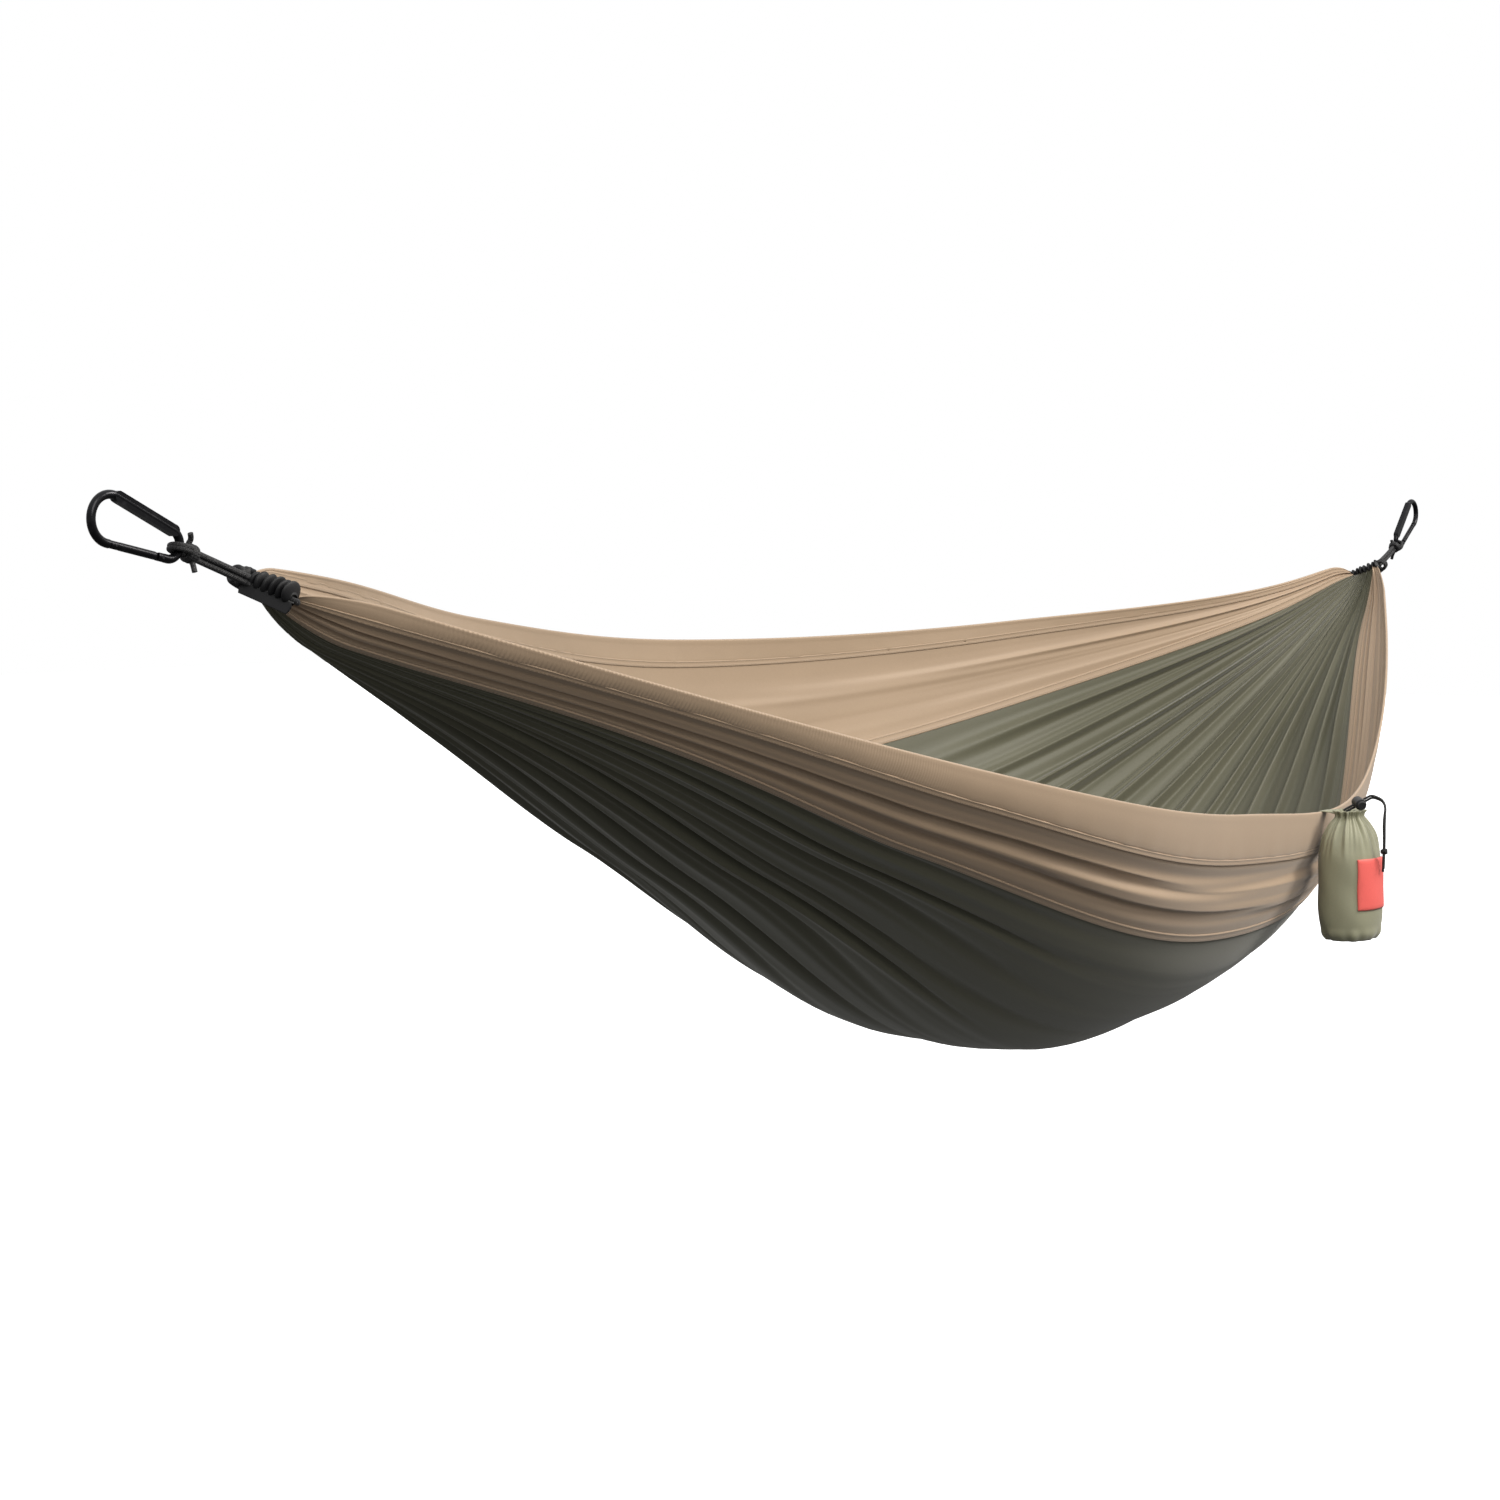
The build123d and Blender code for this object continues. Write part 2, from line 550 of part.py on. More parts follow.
# Drawcord: both ends of one cord come out of the mouth through the lock, and hang to a knot
mouth_exit = Vector(sack_x, sack_y, sack_top) + Vector(*MOUTH_EXIT)
cord_way = Vector(*DRAW_WAY).normalized()
press_way = cord_way.cross(Vector(*PRESS_LEAN)).normalized()
stack_way = cord_way.cross(press_way)
spread_way = Vector(*SPREAD_WAY)
lock_at = mouth_exit + cord_way * LOCK_FROM_MOUTH
crest = mouth_exit + cord_way * CREST_FROM_MOUTH
knot_y = sack_y - SACK_HALF_DEPTH - DRAW_KNOT_OUT
knot_at = Vector(sack_x + DRAW_KNOT_SHIFT, knot_y, sack_top - DRAW_KNOT_DROP)
for name, side, tail in zip(("drawcord_strand_a", "drawcord_strand_b"), (-1, 1), DRAW_TAILS):
    tail_end = Vector(*DRAW_TAIL_END) + Vector(side, 0, -tail)
    points = [
        mouth_exit - cord_way * DRAW_START + stack_way * side * DRAW_SPACING,
        crest + stack_way * side * DRAW_SPACING,
        crest + Vector(*DRAW_SHOULDER) + (stack_way + spread_way) * side * SHOULDER_SPACING,
        knot_at + Vector(*DRAW_FALL) + spread_way * side * FALL_SPACING,
        knot_at + Vector(*KNOT_ENTRY) + spread_way * side * DRAW_SPACING,
        knot_at + Vector(*KNOT_EXIT) + spread_way * side * DRAW_SPACING,
        knot_at + tail_end + spread_way * side * TAIL_SPACING,
    ]
    save(cord_tube(points, DRAW_CORD, name), name)

with BuildPart() as drawcord_knot:
    with Locations(Plane(origin=knot_at, z_dir=DRAW_KNOT_LEAN)):
        Torus(DRAW_KNOT_RADIUS, DRAW_KNOT_THICKNESS)
        Sphere(DRAW_KNOT_LUMP)
save(drawcord_knot.part, "drawcord_knot")

# Spring cord lock: a cup with a cross slot for both strands, and a button that pinches them
lock_face = Plane(origin=lock_at, x_dir=cord_way, z_dir=press_way)
slot_width = DRAW_CORD + SLOT_CLEARANCE
slot_height = 2 * DRAW_SPACING + DRAW_CORD + SLOT_CLEARANCE
with BuildPart() as lock_barrel:
    with BuildSketch(lock_face.offset(-LOCK_LENGTH / 2)):
        Circle(LOCK_RADIUS)
    extrude(amount=LOCK_LENGTH)
    fillet(lock_barrel.edges().filter_by(GeomType.CIRCLE), LOCK_EDGE)
    with BuildSketch(lock_face.offset(-LOCK_LENGTH / 2 + LOCK_FLOOR)):
        Circle(LOCK_BORE)
    extrude(amount=LOCK_LENGTH, mode=Mode.SUBTRACT)
    with BuildSketch(Plane(origin=lock_at, x_dir=press_way, z_dir=cord_way)):
        Rectangle(slot_width, slot_height)
    extrude(amount=2 * LOCK_RADIUS, both=True, mode=Mode.SUBTRACT)
save(lock_barrel.part, "lock_barrel")

button_low = -LOCK_LENGTH / 2 + LOCK_FLOOR + LOCK_SPRING_ROOM
button_high = LOCK_LENGTH / 2 + BUTTON_TRAVEL + BUTTON_PROUD
with BuildPart() as lock_button:
    with BuildSketch(lock_face.offset(button_low)):
        Circle(LOCK_BORE - BUTTON_CLEARANCE)
    extrude(amount=button_high - button_low)
    fillet(lock_button.edges().group_by(Axis(lock_at, press_way))[-1], BUTTON_EDGE)
    # Ring and dimple on the face that the thumb presses
    with BuildSketch(lock_face.offset(button_high)):
        Circle(BUTTON_RING)
        Circle(BUTTON_RING - RING_WIDTH, mode=Mode.SUBTRACT)
        Circle(BUTTON_DIMPLE)
    extrude(amount=-BUTTON_GROOVE, mode=Mode.SUBTRACT)
    slot_middle = lock_at + press_way * BUTTON_TRAVEL / 2
    with BuildSketch(Plane(origin=slot_middle, x_dir=press_way, z_dir=cord_way)):
        Rectangle(slot_width + BUTTON_TRAVEL, slot_height)
    extrude(amount=2 * LOCK_RADIUS, both=True, mode=Mode.SUBTRACT)
save(lock_button.part, "lock_button")

spring_foot = lock_at + press_way * (LOCK_FLOOR + LOCK_WIRE - LOCK_LENGTH / 2)
spring_height = LOCK_SPRING_ROOM - 2 * LOCK_WIRE
with BuildPart() as lock_spring:
    with BuildLine() as coil:
        Helix(
            pitch=spring_height / LOCK_SPRING_TURNS,
            height=spring_height,
            radius=LOCK_BORE - LOCK_SPRING_INSET,
            center=spring_foot,
            direction=press_way,
        )
    with BuildSketch(Plane(origin=coil.line @ 0, z_dir=coil.line % 0)):
        Circle(LOCK_WIRE / 2)
    sweep(path=coil.line, is_frenet=True)
save(lock_spring.part, "lock_spring")
print("cord lock slides along", cord_way, "and its button presses against", press_way)
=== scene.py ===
from math import cos, pi, radians, sin

import bpy
import numpy as np
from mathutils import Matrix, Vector


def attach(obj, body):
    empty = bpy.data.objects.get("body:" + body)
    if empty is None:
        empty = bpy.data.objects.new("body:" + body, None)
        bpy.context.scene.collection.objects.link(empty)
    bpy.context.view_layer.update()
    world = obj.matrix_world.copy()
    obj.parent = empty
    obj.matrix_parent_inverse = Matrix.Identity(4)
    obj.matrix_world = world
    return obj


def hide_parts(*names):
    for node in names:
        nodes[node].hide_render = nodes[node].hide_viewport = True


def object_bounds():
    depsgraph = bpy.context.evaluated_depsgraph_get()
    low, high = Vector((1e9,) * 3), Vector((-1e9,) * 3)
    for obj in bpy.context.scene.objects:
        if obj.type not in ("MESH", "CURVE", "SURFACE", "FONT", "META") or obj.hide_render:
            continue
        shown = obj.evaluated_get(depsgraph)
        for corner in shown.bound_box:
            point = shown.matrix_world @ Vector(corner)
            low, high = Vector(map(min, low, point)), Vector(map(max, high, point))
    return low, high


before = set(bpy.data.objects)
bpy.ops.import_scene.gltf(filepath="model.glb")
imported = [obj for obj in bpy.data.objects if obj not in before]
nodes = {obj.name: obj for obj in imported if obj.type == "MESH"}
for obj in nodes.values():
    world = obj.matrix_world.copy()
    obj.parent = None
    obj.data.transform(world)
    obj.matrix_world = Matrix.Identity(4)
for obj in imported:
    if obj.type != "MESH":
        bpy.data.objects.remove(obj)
cad_low, cad_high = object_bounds()

# The sling's hanging shape in metres, as part.py has it
GATHER_SPAN = 2.6
GATHER_X = 0.180
GATHER_Z = -0.058
NECK = 0.005
STATION = np.array((0.0, 0.08, 0.25, 0.50, 0.75, 0.92, 1.0))
NEAR_OUT = (0.022, 0.195, 0.385, 0.380, 0.266, 0.110, 0.020)
NEAR_DOWN = (-0.004, 0.075, 0.198, 0.293, 0.285, 0.104, -0.002)
FAR_OUT = (0.020, 0.105, 0.295, 0.460, 0.325, 0.080, 0.020)
FAR_DOWN = (-0.014, 0.002, 0.051, 0.096, 0.081, 0.028, -0.016)
MIDDLE_DOWN = (0.030, 0.121, 0.335, 0.614, 0.455, 0.149, 0.030)
NEAR_SEAM = (0.17, 0.465, 0.57, 0.69, 0.61, 0.40, 0.22)
FAR_SEAM = (0.72, 0.82)
NEAR_HEM = 0.64
FAR_HEM = 0.83
HEAD_SLOPE = 17.5
FOOT_SLOPE = 40.0
FOOT_SEAT = (2.882, 0.0, -0.016)
LOOP_LENGTH = 0.096
CHANNEL_LENGTH = 0.056
CHANNEL_ENTRY = 0.003       # the cord's two turns, inside the channel's ends
CHANNEL_TURN = 0.006

# Cords and knots, in metres
CORD = 0.0056
KNOT_CORD = 0.005           # the same cord, pulled thin in its knots
STRAND_OFFSET = 0.00275     # half the spacing of the two strands, which press together
KNOT_FROM_SEAT = 0.018
HITCH_CENTRE = -0.0053      # from the cord's seat, towards the anchor
DRAW_CORD = 0.003
DRAW_SPACING = 0.0017       # half the spacing of the drawcord's strands

# The sizes that the cloth is taken to have been cut to, none of them known: the length along, and the
# five widths across from the near rim
CUT_LENGTH = 2.9
NEAR_HEM_CUT = 0.06
NEAR_SIDE_CUT = 0.13
CENTRE_CUT = 0.98
FAR_SIDE_CUT = 0.16
FAR_HEM_CUT = 0.03
CUTS = np.cumsum((0.0, NEAR_HEM_CUT, NEAR_SIDE_CUT, CENTRE_CUT, FAR_SIDE_CUT, FAR_HEM_CUT))
CUT_WIDTH = CUTS[-1]
NEAR_HEM_AT, NEAR_SEAM_AT, FAR_SEAM_AT, FAR_HEM_AT = CUTS[1:5] / CUT_WIDTH


def unit(*direction):
    return Vector(direction).normalized()


class End:
    """One end of the hammock: its carabiner's plane, its suspension cord and its gathered channel."""

    def __init__(self, name, seat, slope, outwards, gather_x, start, roll, cloth_rise, bunched):
        self.name = name
        self.cloth_rise = cloth_rise
        self.bunched = bunched      # where the two rims and the four seams meet the channel, 0 to 1
        self.seat = Vector(seat)
        self.toward_anchor = Vector((outwards * cos(radians(slope)), 0.0, sin(radians(slope))))
        up = Vector((0, 0, 1))
        self.toward_spine = (up - self.toward_anchor * self.toward_anchor.z).normalized()
        self.across = self.toward_anchor.cross(self.toward_spine)
        self.base = Vector((gather_x, 0.0, GATHER_Z)) + Vector(start)
        self.roll = unit(*roll)
        self.upright = (up - self.roll * self.roll.z).normalized()
        self.rope = (self.base - self.seat).normalized()
        self.side = self.rope.cross(self.roll).normalized()
        self.into_sling = Vector((-outwards, 0.0, 0.0))

    def at(self, along, spineward=0.0, across=0.0):
        """A point by its distance from the cord's seat, in metres."""
        return self.seat + self.toward_anchor * along + self.toward_spine * spineward + self.across * across

    def cord_route(self):
        """The suspension cord's control points: out along one strand and back along the other."""
        knot_end = self.seat + self.rope * KNOT_FROM_SEAT
        entry = self.base + self.roll * CHANNEL_ENTRY
        far_end = self.base + self.roll * (CHANNEL_LENGTH - CHANNEL_TURN)
        out = [p + self.side * STRAND_OFFSET for p in (knot_end, entry, far_end)]
        back = [p - self.side * STRAND_OFFSET for p in (far_end, entry, knot_end)]
        return out + back


head_rise = radians(HEAD_SLOPE)
head_seat = (LOOP_LENGTH * cos(head_rise), 0.0, -LOOP_LENGTH * sin(head_rise))
head = End("head", head_seat, HEAD_SLOPE, -1.0, GATHER_X, (-0.004, 0.004, 0.002), (0.2, -0.92, -0.36),
           cloth_rise=-0.002, bunched=(1.0, 0.75, 0.15, 0.06, 0.03, 0.0))
foot = End("foot", FOOT_SEAT, FOOT_SLOPE, 1.0, GATHER_X + GATHER_SPAN, (0.005, -0.010, 0.004),
           (-0.1, 0.92, -0.38), cloth_rise=0.001, bunched=(0.0, 0.05, 0.14, 0.86, 0.97, 1.0))


# ---------------------------------------------------------------- meshes

def link(obj):
    bpy.context.scene.collection.objects.link(obj)
    return obj


def grid_mesh(name, points, uv, material, wrap=False, caps=False):
    """A smooth mesh through a grid of points; wrap joins the second direction, caps close the ends."""
    rows, columns = points.shape[:2]
    index = np.arange(rows * columns).reshape(rows, columns)
    across = np.concatenate([index, index[:, :1]], axis=1) if wrap else index
    faces = np.stack([across[:-1, :-1], across[:-1, 1:], across[1:, 1:], across[1:, :-1]], axis=-1)
    faces = faces.reshape(-1, 4).tolist()
    if caps:
        faces.append(index[0].tolist())
        faces.append(index[-1][::-1].tolist())
    mesh = bpy.data.meshes.new(name)
    mesh.from_pydata(points.reshape(-1, 3).tolist(), [], faces)
    mesh.update()
    layer = mesh.uv_layers.new(name="UVMap")
    loops = np.zeros(len(mesh.loops), np.int32)
    mesh.loops.foreach_get("vertex_index", loops)
    layer.data.foreach_set("uv", uv.reshape(-1, 2)[loops].astype(np.float32).ravel())
    mesh.polygons.foreach_set("use_smooth", [True] * len(mesh.polygons))
    mesh.materials.append(material)
    return link(bpy.data.objects.new(name, mesh))


def nurbs(name, points, diameter, material):
    """A round cord whose line is a NURBS spline with those control points."""
    curve = bpy.data.curves.new(name, "CURVE")
    curve.dimensions = "3D"
    curve.bevel_depth = diameter / 2
    curve.bevel_resolution = 5
    curve.resolution_u = 8
    curve.use_fill_caps = True
    spline = curve.splines.new("NURBS")
    spline.points.add(len(points) - 1)
    for point, place in zip(spline.points, points):
        point.co = (*place, 1.0)
    spline.order_u = 3
    spline.use_endpoint_u = True
    curve.materials.append(material)
    return link(bpy.data.objects.new(name, curve))


def thicken(piece, thickness):
    """Gives a single layer of cloth its thickness, half on each side."""
    modifier = piece.modifiers.new("thickness", "SOLIDIFY")
    modifier.thickness = thickness
    modifier.offset = 0.0


# ---------------------------------------------------------------- materials

class Nodes:
    """A short way to write a material's nodes."""

    def __init__(self, material):
        self.material = material
        self.material.use_nodes = True
        self.tree = self.material.node_tree
        self.shader = self.tree.nodes["Principled BSDF"]

    def add(self, kind, inputs=None, **settings):
        node = self.tree.nodes.new("ShaderNode" + kind)
        for key, value in settings.items():
            setattr(node, key, value)
        for key, value in (inputs or {}).items():
            if isinstance(value, bpy.types.NodeSocket):
                self.tree.links.new(value, node.inputs[key])
            else:
                node.inputs[key].default_value = value
        return node

    def math(self, operation, a, b=0.0):
        return self.add("Math", {0: a, 1: b}, operation=operation).outputs[0]

    def mix(self, factor, a, b, blend="MIX"):
        node = self.add("Mix", {0: factor, 6: a, 7: b}, data_type="RGBA", blend_type=blend)
        return node.outputs[2]

    def noise(self, vector, scale, detail=3.0, roughness=0.5):
        inputs = {"Vector": vector, "Scale": scale, "Detail": detail, "Roughness": roughness}
        return self.add("TexNoise", inputs).outputs["Fac"]

    def stretched(self, vector, scale):
        return self.add("Mapping", {"Vector": vector, "Scale": scale}).outputs["Vector"]

    def bump(self, height, strength, distance, normal=None):
        inputs = {"Height": height, "Strength": strength, "Distance": distance}
        if normal is not None:
            inputs["Normal"] = normal
        return self.add("Bump", inputs).outputs["Normal"]

    def into(self, socket, value):
        if isinstance(value, bpy.types.NodeSocket):
            self.tree.links.new(value, self.shader.inputs[socket])
        else:
            self.shader.inputs[socket].default_value = value


def nylon(name, colour, ribbed=False, sheen=0.25):
    """Plain-weave nylon: warp and weft threads of uneven thickness, faint creases and faint shading."""
    n = Nodes(bpy.data.materials.new(name))
    uv = n.add("TexCoord").outputs["UV"]
    warp = n.noise(n.stretched(uv, (160.0, 2400.0, 1.0)), 1.0, 1.0)
    weft = n.noise(n.stretched(uv, (2400.0, 160.0, 1.0)), 1.0, 1.0)
    weave = n.math("ADD", warp, weft)
    cloud = n.noise(n.stretched(uv, (3.0, 9.0, 1.0)), 1.0, 4.0)
    creases = n.noise(n.stretched(uv, (7.0, 24.0, 1.0)), 1.0, 2.0, 0.5)
    dark = tuple(c * 0.86 for c in colour)
    light = tuple(min(1.0, c * 1.10) for c in colour)
    tone = n.mix(cloud, (*dark, 1.0), (*light, 1.0))
    threads = n.add("MapRange", {0: weave, 1: 0.6, 2: 1.4, 3: 0.94, 4: 1.05}).outputs[0]
    tint = n.add("CombineColor", {0: threads, 1: threads, 2: threads}).outputs[0]
    n.into("Base Color", n.mix(1.0, tone, tint, "MULTIPLY"))
    normal = n.bump(weave, 0.14, 0.0002)
    normal = n.bump(creases, 0.07, 0.0010, normal)
    if ribbed:
        split = n.add("SeparateXYZ", {0: uv})
        wave = n.math("SINE", n.math("MULTIPLY", split.outputs[0], 2 * pi / 0.0038))
        start = n.add("MapRange", {0: split.outputs[0], 1: 0.08, 2: 0.15}, clamp=True).outputs[0]
        end = n.add("MapRange", {0: split.outputs[0], 1: 0.70, 2: 0.30}, clamp=True).outputs[0]
        ribs = n.math("MULTIPLY", wave, n.math("MULTIPLY", start, end))
        normal = n.bump(ribs, 0.4, 0.0006, normal)
    n.into("Normal", normal)
    n.into("Roughness", 0.55)
    n.into("Specular IOR Level", 0.35)
    n.into("Sheen Weight", sheen)
    n.into("Sheen Roughness", 0.4)
    return n.material


def braid(name, colour, strands=16.0):
    """Braided cord: two sets of diagonal strands that cross. Its colour is painted lighter on the strands'
    raised crests where a noise is high: a painted highlight, mixed with wear.
    """
    n = Nodes(bpy.data.materials.new(name))
    uv = n.add("TexCoord").outputs["UV"]
    place = n.add("TexCoord").outputs["Object"]
    split = n.add("SeparateXYZ", {0: uv})
    along = n.math("MULTIPLY", split.outputs[0], 60.0)
    around = n.math("MULTIPLY", split.outputs[1], strands)
    one = n.math("SINE", n.math("MULTIPLY", n.math("ADD", along, around), pi))
    two = n.math("SINE", n.math("MULTIPLY", n.math("SUBTRACT", along, around), pi))
    weave = n.math("MULTIPLY", one, two)
    wear_and_highlight = n.noise(place, 900.0)
    # light is the painted highlight colour for the strands' raised crests
    light = tuple(c * 1.8 + 0.005 for c in colour)
    share = n.add("MapRange", {0: weave, 1: -1.0, 2: 1.0}).outputs[0]
    # Painted highlight: the colour is lighter on the strands' raised crests where the noise is high, partly
    # wear and partly painted light
    tone = n.mix(n.math("MULTIPLY", share, wear_and_highlight), (*colour, 1.0), (*light, 1.0))
    n.into("Base Color", tone)
    n.into("Normal", n.bump(weave, 0.6, 0.0004, n.bump(wear_and_highlight, 0.3, 0.0003)))
    n.into("Roughness", 0.55)
    n.into("Sheen Weight", 0.03)
    return n.material


def metal(name, colour, roughness, worn, metallic=1.0):
    """Metal with fine brushed marks and paler worn places."""
    n = Nodes(bpy.data.materials.new(name))
    place = n.add("TexCoord").outputs["Object"]
    patches = n.noise(place, 55.0, 4.0)
    grain = n.noise(n.stretched(place, (300.0, 1500.0, 300.0)), 1.0, 2.0)
    rubbed = n.add("MapRange", {0: patches, 1: 0.58, 2: 0.80}, clamp=True).outputs[0]
    n.into("Base Color", n.mix(rubbed, (*colour, 1.0), (*worn, 1.0)))
    n.into("Metallic", metallic)
    spread = n.add("MapRange", {0: grain, 3: roughness - 0.06, 4: roughness + 0.10})
    n.into("Roughness", spread.outputs[0])
    n.into("Normal", n.bump(grain, 0.15, 0.0002))
    return n.material


def plastic(name, colour, roughness):
    """Moulded plastic with a fine grain and slightly uneven gloss."""
    n = Nodes(bpy.data.materials.new(name))
    place = n.add("TexCoord").outputs["Object"]
    grain = n.noise(place, 1800.0, 2.0)
    cloud = n.noise(place, 60.0)
    light = tuple(c * 1.5 + 0.004 for c in colour)
    n.into("Base Color", n.mix(cloud, (*colour, 1.0), (*light, 1.0)))
    n.into("Roughness", n.add("MapRange", {0: cloud, 3: roughness - 0.05, 4: roughness + 0.08}).outputs[0])
    n.into("Normal", n.bump(grain, 0.25, 0.0002))
    return n.material


TAN = (0.40, 0.29, 0.195)
OLIVE = (0.108, 0.105, 0.068)
SACK_OLIVE = (0.295, 0.29, 0.195)
RED = (0.84, 0.135, 0.115)
BLACK = (0.006, 0.006, 0.007)

tan_nylon = nylon("tan_nylon", TAN)
tan_hem_nylon = nylon("tan_hem_nylon", TAN, ribbed=True)
olive_nylon = nylon("olive_nylon", OLIVE)
sack_nylon = nylon("sack_nylon", SACK_OLIVE)
patch_cloth = nylon("patch_cloth", RED, sheen=0.1)
black_tape = nylon("black_tape", BLACK, sheen=0.0)
grey_thread = braid("grey_thread", (0.10, 0.10, 0.10))
black_braid = braid("black_braid", BLACK)
anodised = metal("anodised", (0.012, 0.012, 0.014), 0.26, (0.05, 0.05, 0.055), 0.75)
steel = metal("steel", (0.42, 0.42, 0.43), 0.30, (0.60, 0.60, 0.60))
dark_steel = metal("dark_steel", (0.06, 0.06, 0.065), 0.30, (0.14, 0.14, 0.14))
acetal = plastic("acetal", (0.011, 0.011, 0.012), 0.38)


# ---------------------------------------------------------------- the sling's surface

GATHERED = 0.030        # share of the span over which the cloth closes onto its channel
MOUTH_INSET = 0.0075    # from the channel's middle line to where the cloth meets it
FLATTEST = 0.56         # where along the span the folds are shallowest, and how far that reaches
FLAT_REACH = 0.16
FLAT_CUT = 0.6          # the share of their depth that they lose there


def ease(x):
    x = np.clip(x, 0, 1)
    return x * x * (3 - 2 * x)


def smooth(share, values, station=STATION):
    """A smooth curve through the values at the stations."""
    value = np.array(values)
    slope = np.gradient(value, station)
    i = np.clip(np.searchsorted(station, share) - 1, 0, len(station) - 2)
    width = station[i + 1] - station[i]
    u = (share - station[i]) / width
    start = (1 + 2 * u) * (1 - u) ** 2 * value[i] + u * (1 - u) ** 2 * width * slope[i]
    end = u * u * (3 - 2 * u) * value[i + 1] + u * u * (u - 1) * width * slope[i + 1]
    return start + end


def surface(share, around):
    """Points of the sling: around is -1 at the near edge, 0 at the keel and 1 at the far edge."""
    turn = np.abs(around) * pi / 2
    keel = -smooth(share, MIDDLE_DOWN)
    near = around < 0
    out = np.where(near, -smooth(share, NEAR_OUT), smooth(share, FAR_OUT))
    edge = -np.where(near, smooth(share, NEAR_DOWN), smooth(share, FAR_DOWN))
    x = GATHER_X + NECK + share * (GATHER_SPAN - 2 * NECK)
    y = out * np.sin(turn)
    z = GATHER_Z + keel + (edge - keel) * (1 - np.cos(turn))
    return np.stack(np.broadcast_arrays(x, y, z), axis=-1)


def outward(share, around):
    """Unit normals of the surface, pointing out of the sling."""
    step = 0.004
    further, nearer = np.clip(share + step, 0, 1), np.clip(share - step, 0, 1)
    lengthwise = surface(further, around) - surface(nearer, around)
    farward, nearward = np.clip(around + step, -1, 1), np.clip(around - step, -1, 1)
    crosswise = surface(share, farward) - surface(share, nearward)
    normal = np.cross(crosswise, lengthwise)
    return normal / np.linalg.norm(normal, axis=-1, keepdims=True)


def cloth(share, around, cut):
    """Points of the cloth: the hanging surface, drawn together onto the channel at each end. cut is the
    place across the flat cloth, from 0 at the near rim to 1 at the far rim."""
    points = surface(share, around)
    for end, distance in ((head, share), (foot, 1 - share)):
        weight = (1 - ease(distance / GATHERED))[..., None]
        place = np.interp(cut, CUTS / CUT_WIDTH, end.bunched)
        along = CHANNEL_ENTRY + place * (CHANNEL_LENGTH - 2 * CHANNEL_ENTRY)
        mouth = np.array(end.base) + np.array(end.roll) * along[..., None]
        mouth = mouth + np.array(end.into_sling) * MOUTH_INSET + np.array((0, 0, end.cloth_rise))
        points = points * (1 - weight) + mouth * weight
    return points


def near_seam(share):
    return -smooth(share, NEAR_SEAM)


def far_seam(share):
    return FAR_SEAM[0] + (FAR_SEAM[1] - FAR_SEAM[0]) * share


def near_hem_line(share):
    return near_seam(share) + (-1 - near_seam(share)) * NEAR_HEM


def far_hem_line(share):
    return far_seam(share) + (1 - far_seam(share)) * FAR_HEM


def near_rim(share):
    return -np.ones_like(share)


def far_rim(share):
    return np.ones_like(share)


def even_grid(low, high, rows, columns):
    """Shares and arounds of a grid whose columns are evenly spaced across the cloth in every row, and
    each row's width."""
    share = (1 - np.cos(np.linspace(0, pi, rows))) / 2
    share = share[:, None] * np.ones((1, columns))
    fine = np.linspace(0, 1, 240)
    around = np.zeros((rows, columns))
    width = np.zeros(rows)
    for i in range(rows):
        s = share[i, :1]
        trial = low(s) + (high(s) - low(s)) * fine
        points = surface(np.full_like(fine, s[0]), trial)
        arc = np.concatenate([[0], np.cumsum(np.linalg.norm(np.diff(points, axis=0), axis=1))])
        width[i] = arc[-1]
        around[i] = np.interp(np.linspace(0, arc[-1], columns), arc, trial)
    return share, around, width


def fold_depth(width, cut, count, deepest):
    """Height of evenly spaced folds that take up the cloth that the hanging width has no room for."""
    pitch = width / count
    spare = np.clip(cut / width - 1.0, 0.0, None) * pitch
    return np.minimum(np.minimum(0.60 * spare, 0.62 * pitch), deepest)


def folds(across, count, random, narrow, double):
    """Uneven folds across the cloth, about 1 high: narrow ridges on the inside, with broad flats between
    them that belly outwards. double is the most that a second ridge beside the first may have."""
    edges = np.concatenate([[0.0], np.cumsum(random.uniform(0.70, 1.30, count))])
    edges /= edges[-1]
    place = np.interp(across, edges, np.arange(count + 1))
    which = np.clip(place.astype(int), 0, count - 1)
    t = place - which
    peak = random.uniform(0.30, 0.50, count)[which]
    breadth = narrow * random.uniform(0.8, 1.25, count)[which]
    size = random.uniform(0.65, 1.2, count)[which]
    second = double * random.uniform(0.2, 1.0, count)[which]
    ridge = np.exp(-((t - peak) / breadth) ** 2)
    beside = np.exp(-((t - peak - 1.5 * breadth) / (0.5 * breadth)) ** 2)
    belly = 0.42 * np.sin(pi * t) ** 2
    return size * (belly - 1.45 * ridge - second * beside) * ease(t / 0.12) * ease((1 - t) / 0.12)


